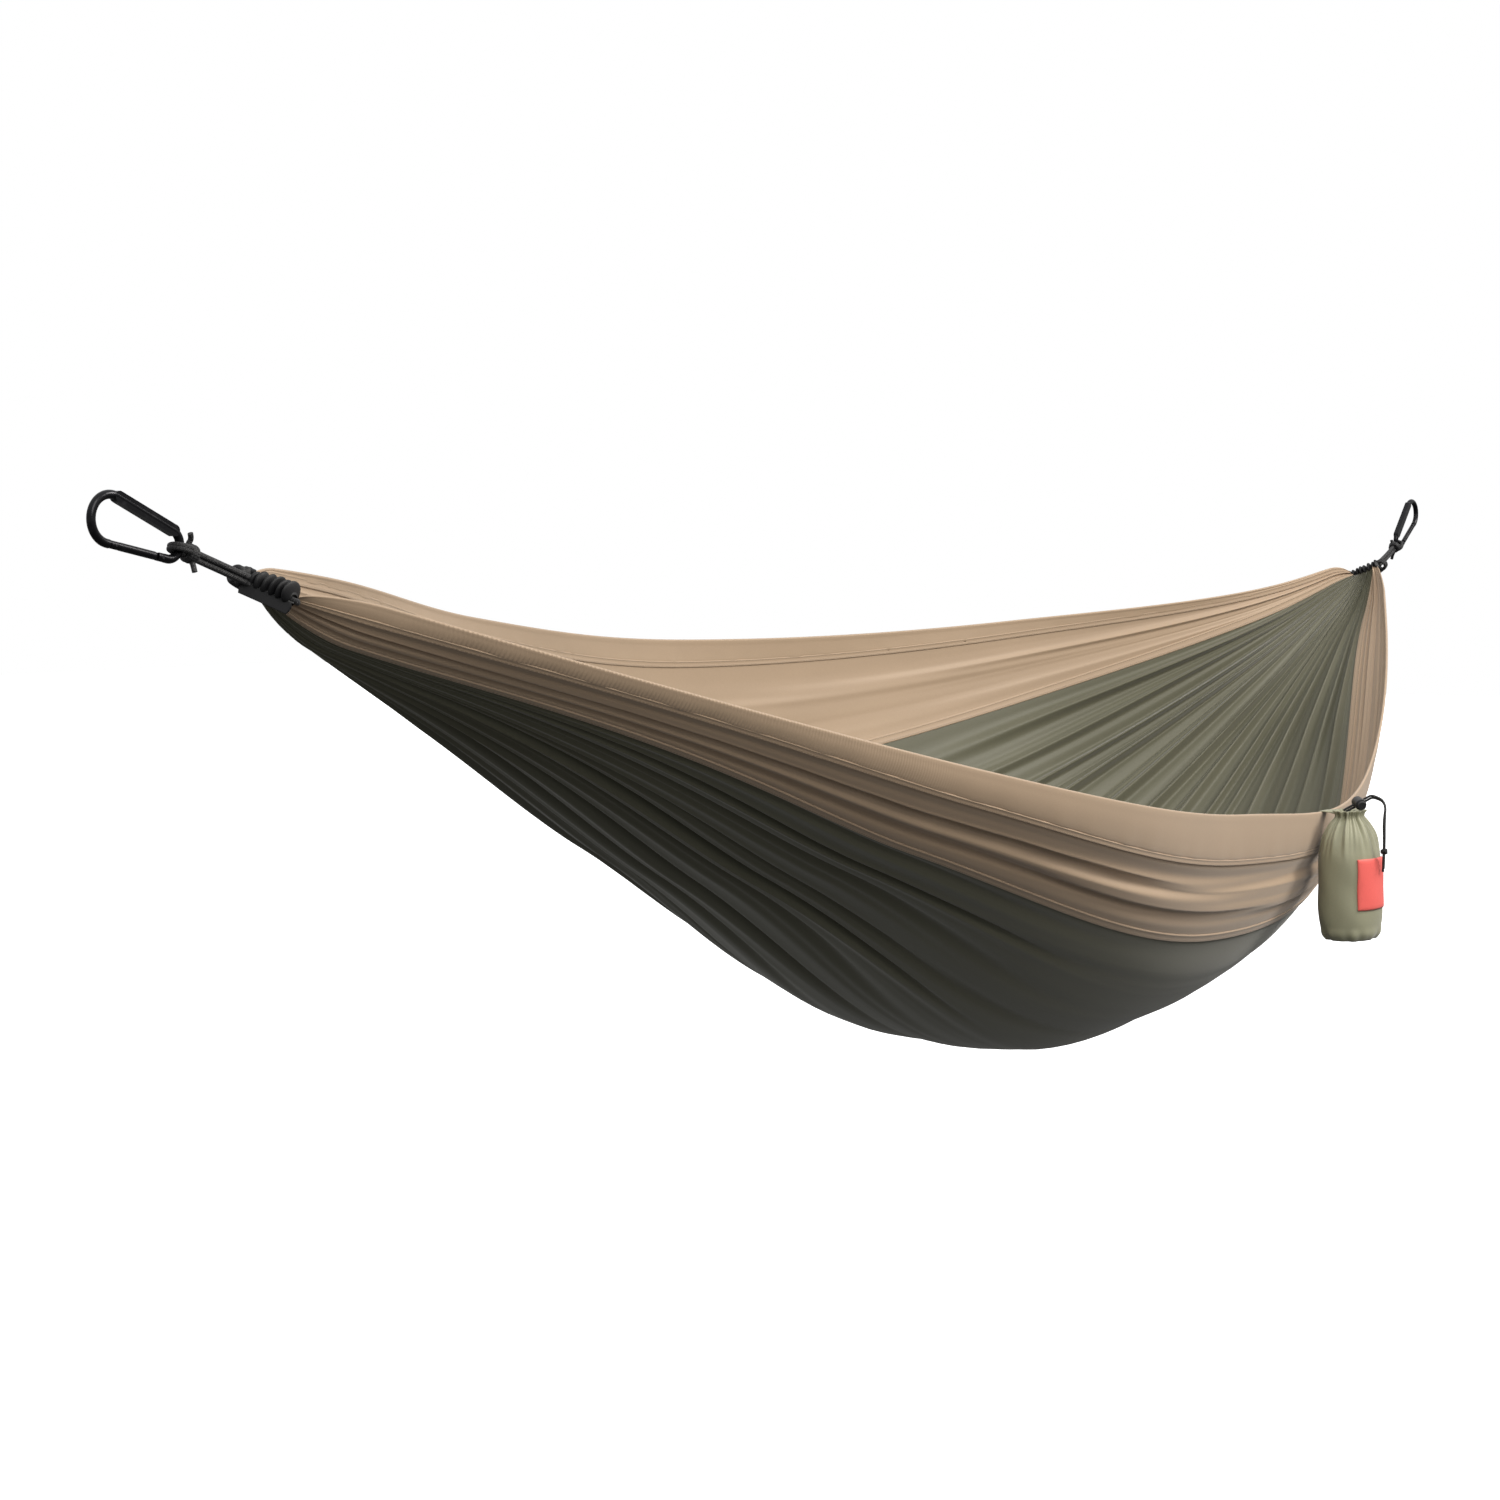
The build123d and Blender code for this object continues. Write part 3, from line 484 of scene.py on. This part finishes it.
def panel(name, low, high, cuts, count, columns, material, seed, rest=0.0, deepest=0.012, narrow=0.17,
          double=0.0, rows=150):
    """One panel of cloth, with its own folds from the head gather and from the foot gather, which die
    away towards the middle; rest is the depth that is left there."""
    random = np.random.default_rng(seed)
    share, around, width = even_grid(low, high, rows, columns)
    across = np.linspace(0, 1, columns)
    cut = cuts[0] + (cuts[1] - cuts[0]) * across[None, :] * np.ones_like(share)
    cut_width = (cuts[1] - cuts[0]) * CUT_WIDTH
    depth = fold_depth(width, cut_width, count, deepest)[:, None] + 0.5 * rest * np.sin(pi * share) ** 2
    depth = depth * (1 - FLAT_CUT * np.exp(-((share - FLATTEST) / FLAT_REACH) ** 4))
    inside = ease(across * count * 0.9) * ease((1 - across) * count * 0.9)
    wander = 0.16 / count * np.sin(2 * pi * (share * random.uniform(0.7, 1.4) + random.uniform()))
    drift = 0.08 / count * np.sin(2 * pi * (share * 3.1 + 5 * across[None, :] + random.uniform()))
    place = across[None, :] + (wander + drift) * inside * ease(share / 0.1) * ease((1 - share) / 0.1)
    from_head = folds(place, count, random, narrow, double)
    from_foot = folds(place, count, random, narrow, double)
    broad = sum(
        np.sin(2 * pi * (count * 0.31 * k * place + random.uniform()) + 2 * share) / k for k in (1, 2)
    )
    share_of_foot = ease((share - 0.30 + 0.05 * np.sin(9 * across[None, :])) / 0.22)
    middle = np.sin(pi * share) ** 4
    height = depth * (from_head * (1 - share_of_foot) + from_foot * share_of_foot) * inside
    height = height + rest * broad * middle * inside
    points = cloth(share, around, cut) + outward(share, around) * height[..., None]
    uv = np.stack([share * CUT_LENGTH, cut * CUT_WIDTH], axis=-1)
    return grid_mesh(name, points, uv, material)


def band(name, line, cut_at, half_width, thickness, material, rows=170, start=0.002, end=0.998):
    """A narrow closed strip of cloth that follows a line on the sling, as a felled seam does: two
    raised edges with a shallow channel between them on each face."""
    share = start + (end - start) * (1 - np.cos(np.linspace(0, pi, rows))) / 2
    profile = ((-1.0, 0.0), (-0.92, 0.8), (-0.72, 1.0), (-0.5, 0.78), (0.0, 0.72), (0.5, 0.78), (0.72, 1.0),
               (0.92, 0.8), (1.0, 0.0))
    loop = list(profile) + [(a, -h) for a, h in profile[-2:0:-1]]
    offset = np.array([a for a, h in loop])
    rise = np.array([h for a, h in loop])
    middle = line(share)
    step = 0.01
    span = surface(share, middle + step) - surface(share, middle - step)
    metres = np.linalg.norm(span, axis=1) / (2 * step)
    room = np.minimum(half_width, 0.30 * metres * 0.1 + 0.0012)
    s = share[:, None] * np.ones((1, len(loop)))
    around = np.clip(middle[:, None] + offset[None, :] * (room / metres)[:, None], -1, 1)
    lift = rise[None, :] * thickness / 2 * ease(np.minimum(share, 1 - share) / 0.02 + 0.3)[:, None]
    cut = cut_at + offset[None, :] * half_width / CUT_WIDTH * np.ones_like(s)
    points = cloth(s, around, cut) + outward(s, around) * lift[..., None]
    uv = np.stack([s * CUT_LENGTH, (offset[None, :] * 0.5 + 0.5) * np.ones_like(s)], axis=-1)
    return grid_mesh(name, points, uv, material, wrap=True, caps=True)


def hem(name, line, rim, cuts, material, seed, thickness=0.0022, roll=0.0020, rows=260):
    """A hem folded double: an outer and an inner layer that meet in a rolled rim, puckered a little
    along the stitches."""
    random = np.random.default_rng(seed)
    share = (1 - np.cos(np.linspace(0, pi, rows))) / 2
    side = -1.0 if rim(share)[0] < 0 else 1.0
    layer = np.linspace(0, 1, 9)
    across = np.concatenate([layer, [1.0, 1.0, 1.0], layer[::-1]])
    rise = np.concatenate([np.full(9, 1.0), [0.8, 0.0, -0.8], np.full(9, -1.0)])
    rise[0] = 0.2
    rise[-1] = -0.2
    past = np.concatenate([np.zeros(9), [0.8, 1.2, 0.8], np.zeros(9)]) * roll
    fat = np.concatenate([1 + 0.8 * ease((layer - 0.86) / 0.14), [1.8, 1.8, 1.8],
                          (1 + 0.8 * ease((layer - 0.86) / 0.14))[::-1]])
    s = share[:, None] * np.ones((1, len(across)))
    around = line(s) + (rim(s) - line(s)) * across[None, :]
    normal = outward(s, around)
    step = 0.01
    tangent = surface(s, around) - surface(s, around - side * step)
    tangent /= np.linalg.norm(tangent, axis=-1, keepdims=True)
    small = ease(np.minimum(share, 1 - share) / 0.06 + 0.25)[:, None]
    phases = random.uniform(0, 2 * pi, 6)
    ripple = sum(np.sin(2 * pi * s * (38 + 17 * k) + phases[k]) / (k + 1.5) for k in range(6))
    wave = 0.0016 * np.sin(2 * pi * s * 4 + phases[0]) * across
    pucker = 0.0007 * ripple * (1 - across[None, :]) ** 2 + wave
    lift = rise[None, :] * fat[None, :] * thickness / 2 * small + pucker * small
    cut = cuts[0] + (cuts[1] - cuts[0]) * across[None, :] * np.ones_like(s)
    points = cloth(s, around, cut) + normal * lift[..., None] + tangent * (past[None, :] * small)[..., None]
    uv = np.stack([s * CUT_LENGTH, across[None, :] * 0.06 * np.ones_like(s)], axis=-1)
    return grid_mesh(name, points, uv, material, wrap=True, caps=True)


def stitched(name, colour, rows_at, pitch=0.0036):
    """Cloth with rows of stitches across its UV's second direction."""
    n = Nodes(nylon(name, colour))
    uv = n.add("TexCoord").outputs["UV"]
    split = n.add("SeparateXYZ", {0: uv})
    cell = n.math("FRACT", n.math("DIVIDE", split.outputs[0], pitch))
    dash = n.math("LESS_THAN", cell, 0.62)
    lines = 0.0
    for row in rows_at:
        near = n.math("LESS_THAN", n.math("ABSOLUTE", n.math("SUBTRACT", split.outputs[1], row)), 0.045)
        lines = n.math("MAXIMUM", near, lines)
    stitch = n.math("MULTIPLY", dash, lines)
    base = n.shader.inputs["Base Color"].links[0].from_socket
    dark = tuple(c * 0.62 for c in colour)
    n.into("Base Color", n.mix(stitch, base, (*dark, 1.0)))
    normal = n.shader.inputs["Normal"].links[0].from_socket
    n.into("Normal", n.bump(n.math("SUBTRACT", stitch, lines), 0.7, 0.0006, normal))
    return n.material


tan_seam_cloth = stitched("tan_seam_cloth", TAN, (0.22, 0.78))


def join_ride(piece, body, slot, *replaced):
    """Puts a piece on its body and hides the CAD nodes that it stands for. slot is not used."""
    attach(piece, body)
    if replaced:
        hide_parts(*replaced)


centre = panel("centre_cloth", near_seam, far_seam, (NEAR_SEAM_AT, FAR_SEAM_AT), 14, 420, olive_nylon, 11,
               rest=0.0026, deepest=0.0150, narrow=0.145, double=0.5)
near_side = panel("near_side_cloth", near_hem_line, near_seam, (NEAR_HEM_AT, NEAR_SEAM_AT), 3, 64,
                  tan_nylon, 5, rest=0.0040, deepest=0.0045, narrow=0.30)
far_side = panel("far_side_cloth", far_seam, far_hem_line, (FAR_SEAM_AT, FAR_HEM_AT), 2, 72, tan_nylon, 8,
                 rest=0.0020, deepest=0.004, narrow=0.16, double=0.5)
near_hem = hem("near_hem_cloth", near_hem_line, near_rim, (NEAR_HEM_AT, 0.0), tan_hem_nylon, 21)
far_hem = hem("far_hem_cloth", far_hem_line, far_rim, (FAR_HEM_AT, 1.0), tan_nylon, 22)
seams = (
    band("near_seam_cloth", near_seam, NEAR_SEAM_AT, 0.0055, 0.0030, tan_seam_cloth),
    band("far_seam_cloth", far_seam, FAR_SEAM_AT, 0.0065, 0.0030, tan_seam_cloth),
    band("near_hem_seam", near_hem_line, NEAR_HEM_AT, 0.0035, 0.0034, tan_seam_cloth),
    band("far_hem_seam", far_hem_line, FAR_HEM_AT, 0.0045, 0.0034, tan_seam_cloth),
)
join_ride(centre, "sling", "nylon_olive", "centre_panel_near", "centre_panel_keel", "centre_panel_far")
join_ride(near_side, "sling", "nylon_tan", "near_side_panel")
join_ride(far_side, "sling", "nylon_tan", "far_side_panel")
join_ride(near_hem, "sling", "nylon_tan", "near_hem")
join_ride(far_hem, "sling", "nylon_tan", "far_hem")
for seam in seams:
    join_ride(seam, "sling", "nylon_tan")


# ---------------------------------------------------------------- cords, knots and channels

def coil(centre, axis, first, radius, length, turns, per_turn=8):
    """Control points of a helix: it starts on the side that first points to."""
    axis = axis.normalized()
    first = (first - axis * first.dot(axis)).normalized()
    second = axis.cross(first)
    points = []
    for k in range(int(turns * per_turn) + 1):
        angle = 2 * pi * k / per_turn
        share = k / (turns * per_turn) - 0.5
        spoke = first * cos(angle) + second * sin(angle)
        points.append(centre + axis * (length * share) + spoke * radius)
    return points


def slab(name, place, along, across, length, width, thickness, material, bow=0.0):
    """A flat strip of webbing with rounded edges, bowed a little along its length."""
    rows, columns = 33, 20
    t = np.linspace(0, 1, rows)[:, None] * np.ones((1, columns))
    angle = np.linspace(0, 2 * pi, columns, endpoint=False)[None, :] * np.ones((rows, 1))
    flat = np.sign(np.cos(angle)) * np.abs(np.cos(angle)) ** 0.35 * width / 2
    thick = np.sign(np.sin(angle)) * np.abs(np.sin(angle)) ** 0.35 * thickness / 2
    face = along.cross(across).normalized()
    thick = thick + bow * np.sin(pi * t)
    end = ease(np.minimum(t, 1 - t) / 0.02 + 0.4)
    points = (
        np.array(place)
        + np.array(along) * (t * length)[..., None]
        + np.array(across) * (flat * end)[..., None]
        + np.array(face) * thick[..., None]
    )
    uv = np.stack([t * length, flat + width / 2], axis=-1)
    return grid_mesh(name, points, uv, material, wrap=True, caps=True)


def channel(end, leaves, low_crest, high_crest, material, seed):
    """The sewn tape tunnel, bunched up on the cord into leaves that stand up like a comb's teeth."""
    random = np.random.default_rng(seed)
    rows, columns = 24 * leaves + 1, 48
    t = np.linspace(0, 1, rows)[:, None] * np.ones((1, columns))
    angle = np.linspace(0, 2 * pi, columns, endpoint=False)[None, :] * np.ones((rows, 1))
    which = np.minimum((t * leaves).astype(int), leaves - 1)
    crest = low_crest + (high_crest - low_crest) * t + random.uniform(-0.0010, 0.0010, leaves)[which]
    lean = random.uniform(-0.0016, 0.0016, leaves)[which]
    twist = random.uniform(0, 2 * pi, leaves)[which]
    leaf = np.clip(np.sin(pi * (t * leaves - which)), 0, 1) ** 0.75
    up = ease(0.5 + 0.62 * np.cos(angle))
    root = 0.0058
    radius = root + (crest - root) * leaf * (0.16 + 0.84 * up) + 0.0004 * np.sin(3 * angle + twist)
    along = t * CHANNEL_LENGTH + lean * leaf * up
    side = end.roll.cross(end.upright)
    points = (
        np.array(end.base)
        + np.array(end.roll) * along[..., None]
        + np.array(end.upright) * (radius * np.cos(angle))[..., None]
        + np.array(side) * (radius * np.sin(angle))[..., None]
    )
    uv = np.stack([t * CHANNEL_LENGTH * 3, angle * 0.01], axis=-1)
    return grid_mesh(end.name + "_channel_tape", points, uv, material, wrap=True, caps=True)


def hitch_route(end):
    """Two turns round the carabiner's rod."""
    turns = coil(end.at(HITCH_CENTRE), end.toward_spine, -end.toward_anchor, 0.0101, 0.0056, 2)
    return [end.at(-0.018, -0.002, 0.003), *turns, end.at(-0.018, 0.002, -0.003)]


def knot_route(end):
    """The knot behind the hitch, with a tail at each side."""
    turns = coil(end.seat + end.rope * 0.0175, end.rope, end.toward_spine, 0.0070, 0.0095, 2.5)
    first_tail = [end.at(-0.010, 0.016, -0.003), end.at(-0.014, 0.012, -0.002)]
    last_tail = [end.at(-0.019, -0.008, -0.004), end.at(-0.021, -0.016, -0.007)]
    return first_tail + turns + last_tail


def choker_route(end):
    """The turns that close the gather, with both ends led under the channel."""
    lead_in = [
        end.base + end.roll * 0.014 + end.side * 0.007,
        end.base + end.roll * 0.005 + end.side * 0.009,
    ]
    turns = coil(end.base - end.rope * 0.006, end.rope, end.side, 0.0078, 0.0090, 2.5)
    lead_out = [
        end.base - end.rope * 0.001 - end.side * 0.009,
        end.base + end.roll * 0.009 - end.side * 0.009,
    ]
    return lead_in + turns + lead_out


# How many leaves each channel has, and how high its first and its last stand
LEAVES = {"head": (7, 0.0100, 0.0185), "foot": (8, 0.0125, 0.0135)}
BAND_WIDTH = 0.0115
BAND_THICKNESS = 0.0016
PIPING = 0.0010

tapes = []
for end in (head, foot):
    route = end.cord_route()
    cord = nurbs(end.name + "_cord", route, CORD, black_braid)
    join_ride(cord, "sling", "cord_black", end.name + "_suspension_cord")

    hitch = nurbs(end.name + "_hitch", hitch_route(end), KNOT_CORD, black_braid)
    lump = nurbs(end.name + "_knot_turns", knot_route(end), KNOT_CORD, black_braid)
    choker = nurbs(end.name + "_choker", choker_route(end), KNOT_CORD, black_braid)
    for piece in (hitch, lump, choker):
        join_ride(piece, "sling", "cord_black")
    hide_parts(end.name + "_carabiner_knot")
    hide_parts(end.name + "_channel_knot")

    tape = channel(end, *LEAVES[end.name], black_tape, 31)
    join_ride(tape, "sling", "tape_black", end.name + "_end_channel")
    front = -end.into_sling
    front = (front - end.roll * front.dot(end.roll)).normalized()
    leaning = (end.upright * 0.80 + front * -0.35).normalized()
    band_at = end.base + front * 0.0088 - end.upright * 0.0058 + end.roll * 0.005
    strip = slab(end.name + "_channel_band", band_at, end.roll, leaning, CHANNEL_LENGTH, BAND_WIDTH,
                 BAND_THICKNESS, black_tape, bow=0.001)
    piping_at = band_at + leaning * 0.0064
    piping_route = [
        piping_at,
        piping_at + end.roll * (CHANNEL_LENGTH / 2) + front * 0.001,
        piping_at + end.roll * CHANNEL_LENGTH,
    ]
    edge_line = nurbs(end.name + "_band_edge", piping_route, PIPING, grey_thread)
    eye_centre = end.base + end.roll * (CHANNEL_LENGTH + 0.0015)
    eye_route = coil(eye_centre, end.side, end.roll, 0.0036, 0.0012, 1.2)
    eye = nurbs(end.name + "_cord_eye", eye_route, KNOT_CORD, black_braid)
    for piece in (strip, edge_line, eye):
        join_ride(piece, "sling", "tape_black")
    tapes += [tape, strip, edge_line]

# ---------------------------------------------------------------- the stuff sack

SACK_FLOOR = Vector((1.7908, -0.38258, -0.53426))
SACK_HEIGHT = 0.158
SACK_HALF_WIDTH = 0.052
SACK_HALF_DEPTH = 0.036
SACK_LEVEL = np.array((0.0, 0.035, 0.12, 0.45, 0.74, 0.88, 0.96, 1.0))
SACK_SCALE = (0.78, 0.90, 0.97, 1.0, 0.94, 0.77, 0.56, 0.42)
MOUTH_SHIFT = (-0.004, 0.003)
SACK_PHASES = np.random.default_rng(41).uniform(0, 2 * pi, 12)


def sack_point(level, angle, scale=None, proud=0.0):
    """A point of the sack: pleated at the mouth, puckered at the floor and dented between."""
    if scale is None:
        scale = smooth(level, SACK_SCALE, SACK_LEVEL)
    p = SACK_PHASES
    gathered = ease((level - 0.62) / 0.36)
    puckered = ease((0.13 - level) / 0.13)
    pleats = np.sin(13 * angle + p[0]) + 0.6 * np.sin(19 * angle + p[1]) + 0.4 * np.sin(29 * angle + p[2])
    puckers = np.sin(9 * angle + p[3]) + 0.7 * np.sin(14 * angle + p[4])
    dents = np.sin(2 * angle + 4 * level + p[5]) + 0.7 * np.sin(3 * angle - 7 * level + p[6])
    creases = np.sin(5 * angle + 9 * level + p[7]) * np.sin(8 * level + p[8])
    body = ease(level / 0.1) * ease((1 - level) / 0.1)
    size = scale + 0.050 * gathered * pleats + 0.028 * puckered * puckers
    size = size + body * (0.014 * dents + 0.010 * creases)
    x = np.sign(np.cos(angle)) * np.abs(np.cos(angle)) ** 0.88
    y = np.sign(np.sin(angle)) * np.abs(np.sin(angle)) ** 0.88
    drawn = ease(level)
    return np.stack(np.broadcast_arrays(
        SACK_FLOOR.x + x * (SACK_HALF_WIDTH * size + proud) + MOUTH_SHIFT[0] * drawn,
        SACK_FLOOR.y + y * (SACK_HALF_DEPTH * size + proud) + MOUTH_SHIFT[1] * drawn,
        SACK_FLOOR.z + level * SACK_HEIGHT + 0 * angle,
    ), axis=-1)


under = ((0.020, 0.03), (0.012, 0.30), (0.004, 0.58))
sides = tuple((level, None) for level in np.linspace(0, 1, 64))
frill = ((1.012, 0.39), (1.030, 0.40), (1.046, 0.44), (1.060, 0.49), (1.062, 0.46), (1.045, 0.36),
         (1.02, 0.26), (0.99, 0.10))
angles = np.linspace(0, 2 * pi, 220, endpoint=False)
profile = under + sides + frill
rings = [sack_point(level, angles, scale) for level, scale in profile]
heights = np.array([level for level, scale in profile])[:, None] * SACK_HEIGHT
sack_uv = np.stack(np.broadcast_arrays(heights, angles[None, :] * SACK_HALF_WIDTH), axis=-1)
sack = grid_mesh("sack_cloth", np.stack(rings), sack_uv, sack_nylon, wrap=True, caps=True)
join_ride(sack, "sack", "sack_olive", "sack_body", "sack_mouth")

# A tab of the same cloth joins the sack's mouth to the hammock's near hem
TAB_SHIFT = -0.002
TAB_Y = -0.3425
TAB_Z = -0.3695
t, across = np.meshgrid(np.linspace(0, 1, 24), np.linspace(-1, 1, 33), indexing="ij")
half = 0.014 - 0.002 * t
tab_points = np.stack([
    SACK_FLOOR.x + across * half + TAB_SHIFT,
    TAB_Y - 0.032 * t,
    TAB_Z - 0.004 * t + 0.0016 * np.sin(9 * across) * t + 0.002 * np.sin(pi * t),
], axis=-1)
tab = grid_mesh("sack_tab", tab_points, np.stack([t * 0.034, across * 0.015], axis=-1), sack_nylon)
thicken(tab, 0.0014)
join_ride(tab, "sack", "sack_olive", "sack_flap")

# The patch: its cloth lies on the sack's outer face, turned under and sewn all round
PATCH_WIDTH = 0.064
PATCH_HEIGHT = 0.066
PATCH_SHIFT = -0.008    # from the sack's middle
PATCH_LEVEL = 0.47      # its middle's share of the sack's height
patch_u, patch_v = np.meshgrid(np.linspace(0, 1, 34), np.linspace(0, 1, 34), indexing="ij")
patch_x = SACK_FLOOR.x + PATCH_SHIFT + (patch_u - 0.5) * PATCH_WIDTH
patch_level = PATCH_LEVEL + (patch_v - 0.5) * PATCH_HEIGHT / SACK_HEIGHT
turn = np.linspace(-pi, 0, 181)
patch_points = np.zeros(patch_x.shape + (3,))
rim = np.minimum(np.minimum(patch_u, 1 - patch_u), np.minimum(patch_v, 1 - patch_v))
stand = 0.0009 + 0.0009 * ease(rim / 0.05)
for i in range(patch_x.shape[0]):
    for j in range(patch_x.shape[1]):
        face = sack_point(np.full_like(turn, patch_level[i, j]), turn)
        where = np.interp(patch_x[i, j], face[:, 0], turn)
        patch_points[i, j] = sack_point(patch_level[i, j], where, proud=stand[i, j])
patch_uv = np.stack([patch_u * PATCH_WIDTH, patch_v * PATCH_HEIGHT], axis=-1)
patch = grid_mesh("sack_patch_cloth", patch_points, patch_uv, patch_cloth)
thicken(patch, 0.0012)
join_ride(patch, "sack", "patch_red", "sack_patch")

# The drawcord: two strands out of the mouth, through the lock and down to a knot, as in part.py
mouth_exit = Vector((1.7848, -0.37858, -0.36526))
cord_way = unit(0.50, -0.72, 0.48)
press_way = cord_way.cross(Vector((-0.48, 0.34, 1.0))).normalized()
stack_way = cord_way.cross(press_way)
spread_way = Vector((0.8, 0.6, 0.0))
crest = mouth_exit + cord_way * 0.036
knot_at = Vector((1.7898, -0.42658, -0.41826))
draw_knot_route = coil(knot_at, Vector((0.3, 0.2, 1)), Vector((-1, -1, 0)), 0.0034, 0.0050, 2.4)
draw_knot = nurbs("draw_knot", draw_knot_route, DRAW_CORD, black_braid)
join_ride(draw_knot, "sack", "cord_black", "drawcord_knot")
for name, side, tail, length in (("a", -1, 0.022, 0.149), ("b", 1, 0.027, 0.150)):
    route = [
        mouth_exit - cord_way * 0.006 + stack_way * side * DRAW_SPACING,
        mouth_exit + cord_way * 0.029 + stack_way * side * DRAW_SPACING,
        crest + stack_way * side * DRAW_SPACING,
        crest + Vector((0.009, -0.015, -0.008)) + (stack_way + spread_way) * side * 0.0013,
        knot_at + Vector((0.006, 0.003, 0.038)) + spread_way * side * 0.003,
        knot_at + Vector((0.0005, 0, 0.014)) + spread_way * side * DRAW_SPACING,
        knot_at + Vector((0.0008, 0.0006, -0.008)) + spread_way * side * DRAW_SPACING,
        knot_at + Vector((0.0005 + side * 0.001, 0.0008, -tail)) + spread_way * side * 0.0032,
    ]
    strand = nurbs("draw_strand_" + name, route, DRAW_CORD, black_braid)
    join_ride(strand, "sack", "cord_black", "drawcord_strand_" + name)

# ---------------------------------------------------------------- CAD pieces that stay

finish = {
    "_carabiner_body": anodised,
    "_gate": anodised,
    "_hinge_pin": dark_steel,
    "_latch_pin": dark_steel,
    "_plunger": steel,
    "_gate_spring": steel,
    "lock_barrel": acetal,
    "lock_button": acetal,
    "lock_spring": steel,
}
for node_name, obj in nodes.items():
    for ending, material in finish.items():
        if node_name.endswith(ending):
            obj.data.materials.clear()
            obj.data.materials.append(material)

# ---------------------------------------------------------------- stage, light and camera

FLOOR_DROP = 1.1
FLOOR_SIZE = 60
FLOOR_GLOW = 0.92


def area_light(name, place, target, size, power):
    data = bpy.data.lights.new(name, "AREA")
    data.shape = "DISK"
    data.size = size
    data.energy = power
    data.color = (1.0, 0.965, 0.91)
    lamp = link(bpy.data.objects.new(name, data))
    lamp.location = place
    lamp.rotation_euler = (Vector(target) - Vector(place)).to_track_quat("-Z", "Y").to_euler()


middle = (cad_low + cad_high) / 2
bpy.ops.mesh.primitive_plane_add(size=FLOOR_SIZE, location=(middle.x, middle.y, cad_low.z - FLOOR_DROP))
floor = bpy.context.object
floor.name = "floor"
paint = Nodes(bpy.data.materials.new("floor_paint"))
paint.into("Base Color", (0.9, 0.9, 0.9, 1.0))
paint.into("Roughness", 0.9)
paint.into("Emission Color", (1, 1, 1, 1))
paint.into("Emission Strength", FLOOR_GLOW)
floor.data.materials.append(paint.material)
floor.visible_diffuse = False
floor.visible_glossy = False

# The room is white to the camera, but lights the object from above and hardly from below
world = bpy.data.worlds.new("studio")
bpy.context.scene.world = world
world.use_nodes = True
room = world.node_tree
background = room.nodes["Background"]
seen = room.nodes.new("ShaderNodeLightPath").outputs["Is Camera Ray"]
direction = room.nodes.new("ShaderNodeTexCoord").outputs["Generated"]
height = room.nodes.new("ShaderNodeSeparateXYZ")
room.links.new(direction, height.inputs[0])
glow = room.nodes.new("ShaderNodeMapRange")
room.links.new(height.outputs["Z"], glow.inputs[0])
# The glow's range of heights, and its strength at each end of it
for i, value in ((1, -0.35), (2, 0.9), (3, 0.12), (4, 1.05)):
    glow.inputs[i].default_value = value
strength = room.nodes.new("ShaderNodeMix")
room.links.new(seen, strength.inputs[0])
room.links.new(glow.outputs[0], strength.inputs[2])
strength.inputs[3].default_value = 1.0
background.inputs["Color"].default_value = (1, 1, 1, 1)
room.links.new(strength.outputs[0], background.inputs["Strength"])

VIEW_FROM = Vector((-1.6205, -1.8046, -0.0358))
HEADING = radians(34.89)
PITCH = radians(4.0)
ahead = Vector((cos(HEADING) * cos(PITCH), sin(HEADING) * cos(PITCH), -sin(PITCH)))
camera_data = bpy.data.cameras.new("camera")
camera_data.lens = 66.84
camera_data.sensor_width = 36.0
camera_data.clip_end = 100.0
camera = link(bpy.data.objects.new("camera", camera_data))
camera.location = VIEW_FROM
camera.rotation_euler = ahead.to_track_quat("-Z", "Y").to_euler()
bpy.context.scene.camera = camera
bpy.context.scene.view_settings.view_transform = "Standard"

area_light("key", middle + Vector((2.4, -3.4, 3.2)), middle, 2.2, 205)
area_light("fill", middle + Vector((-2.2, -3.0, 2.2)), middle + Vector((0.9, 0, 0)), 2.5, 85)
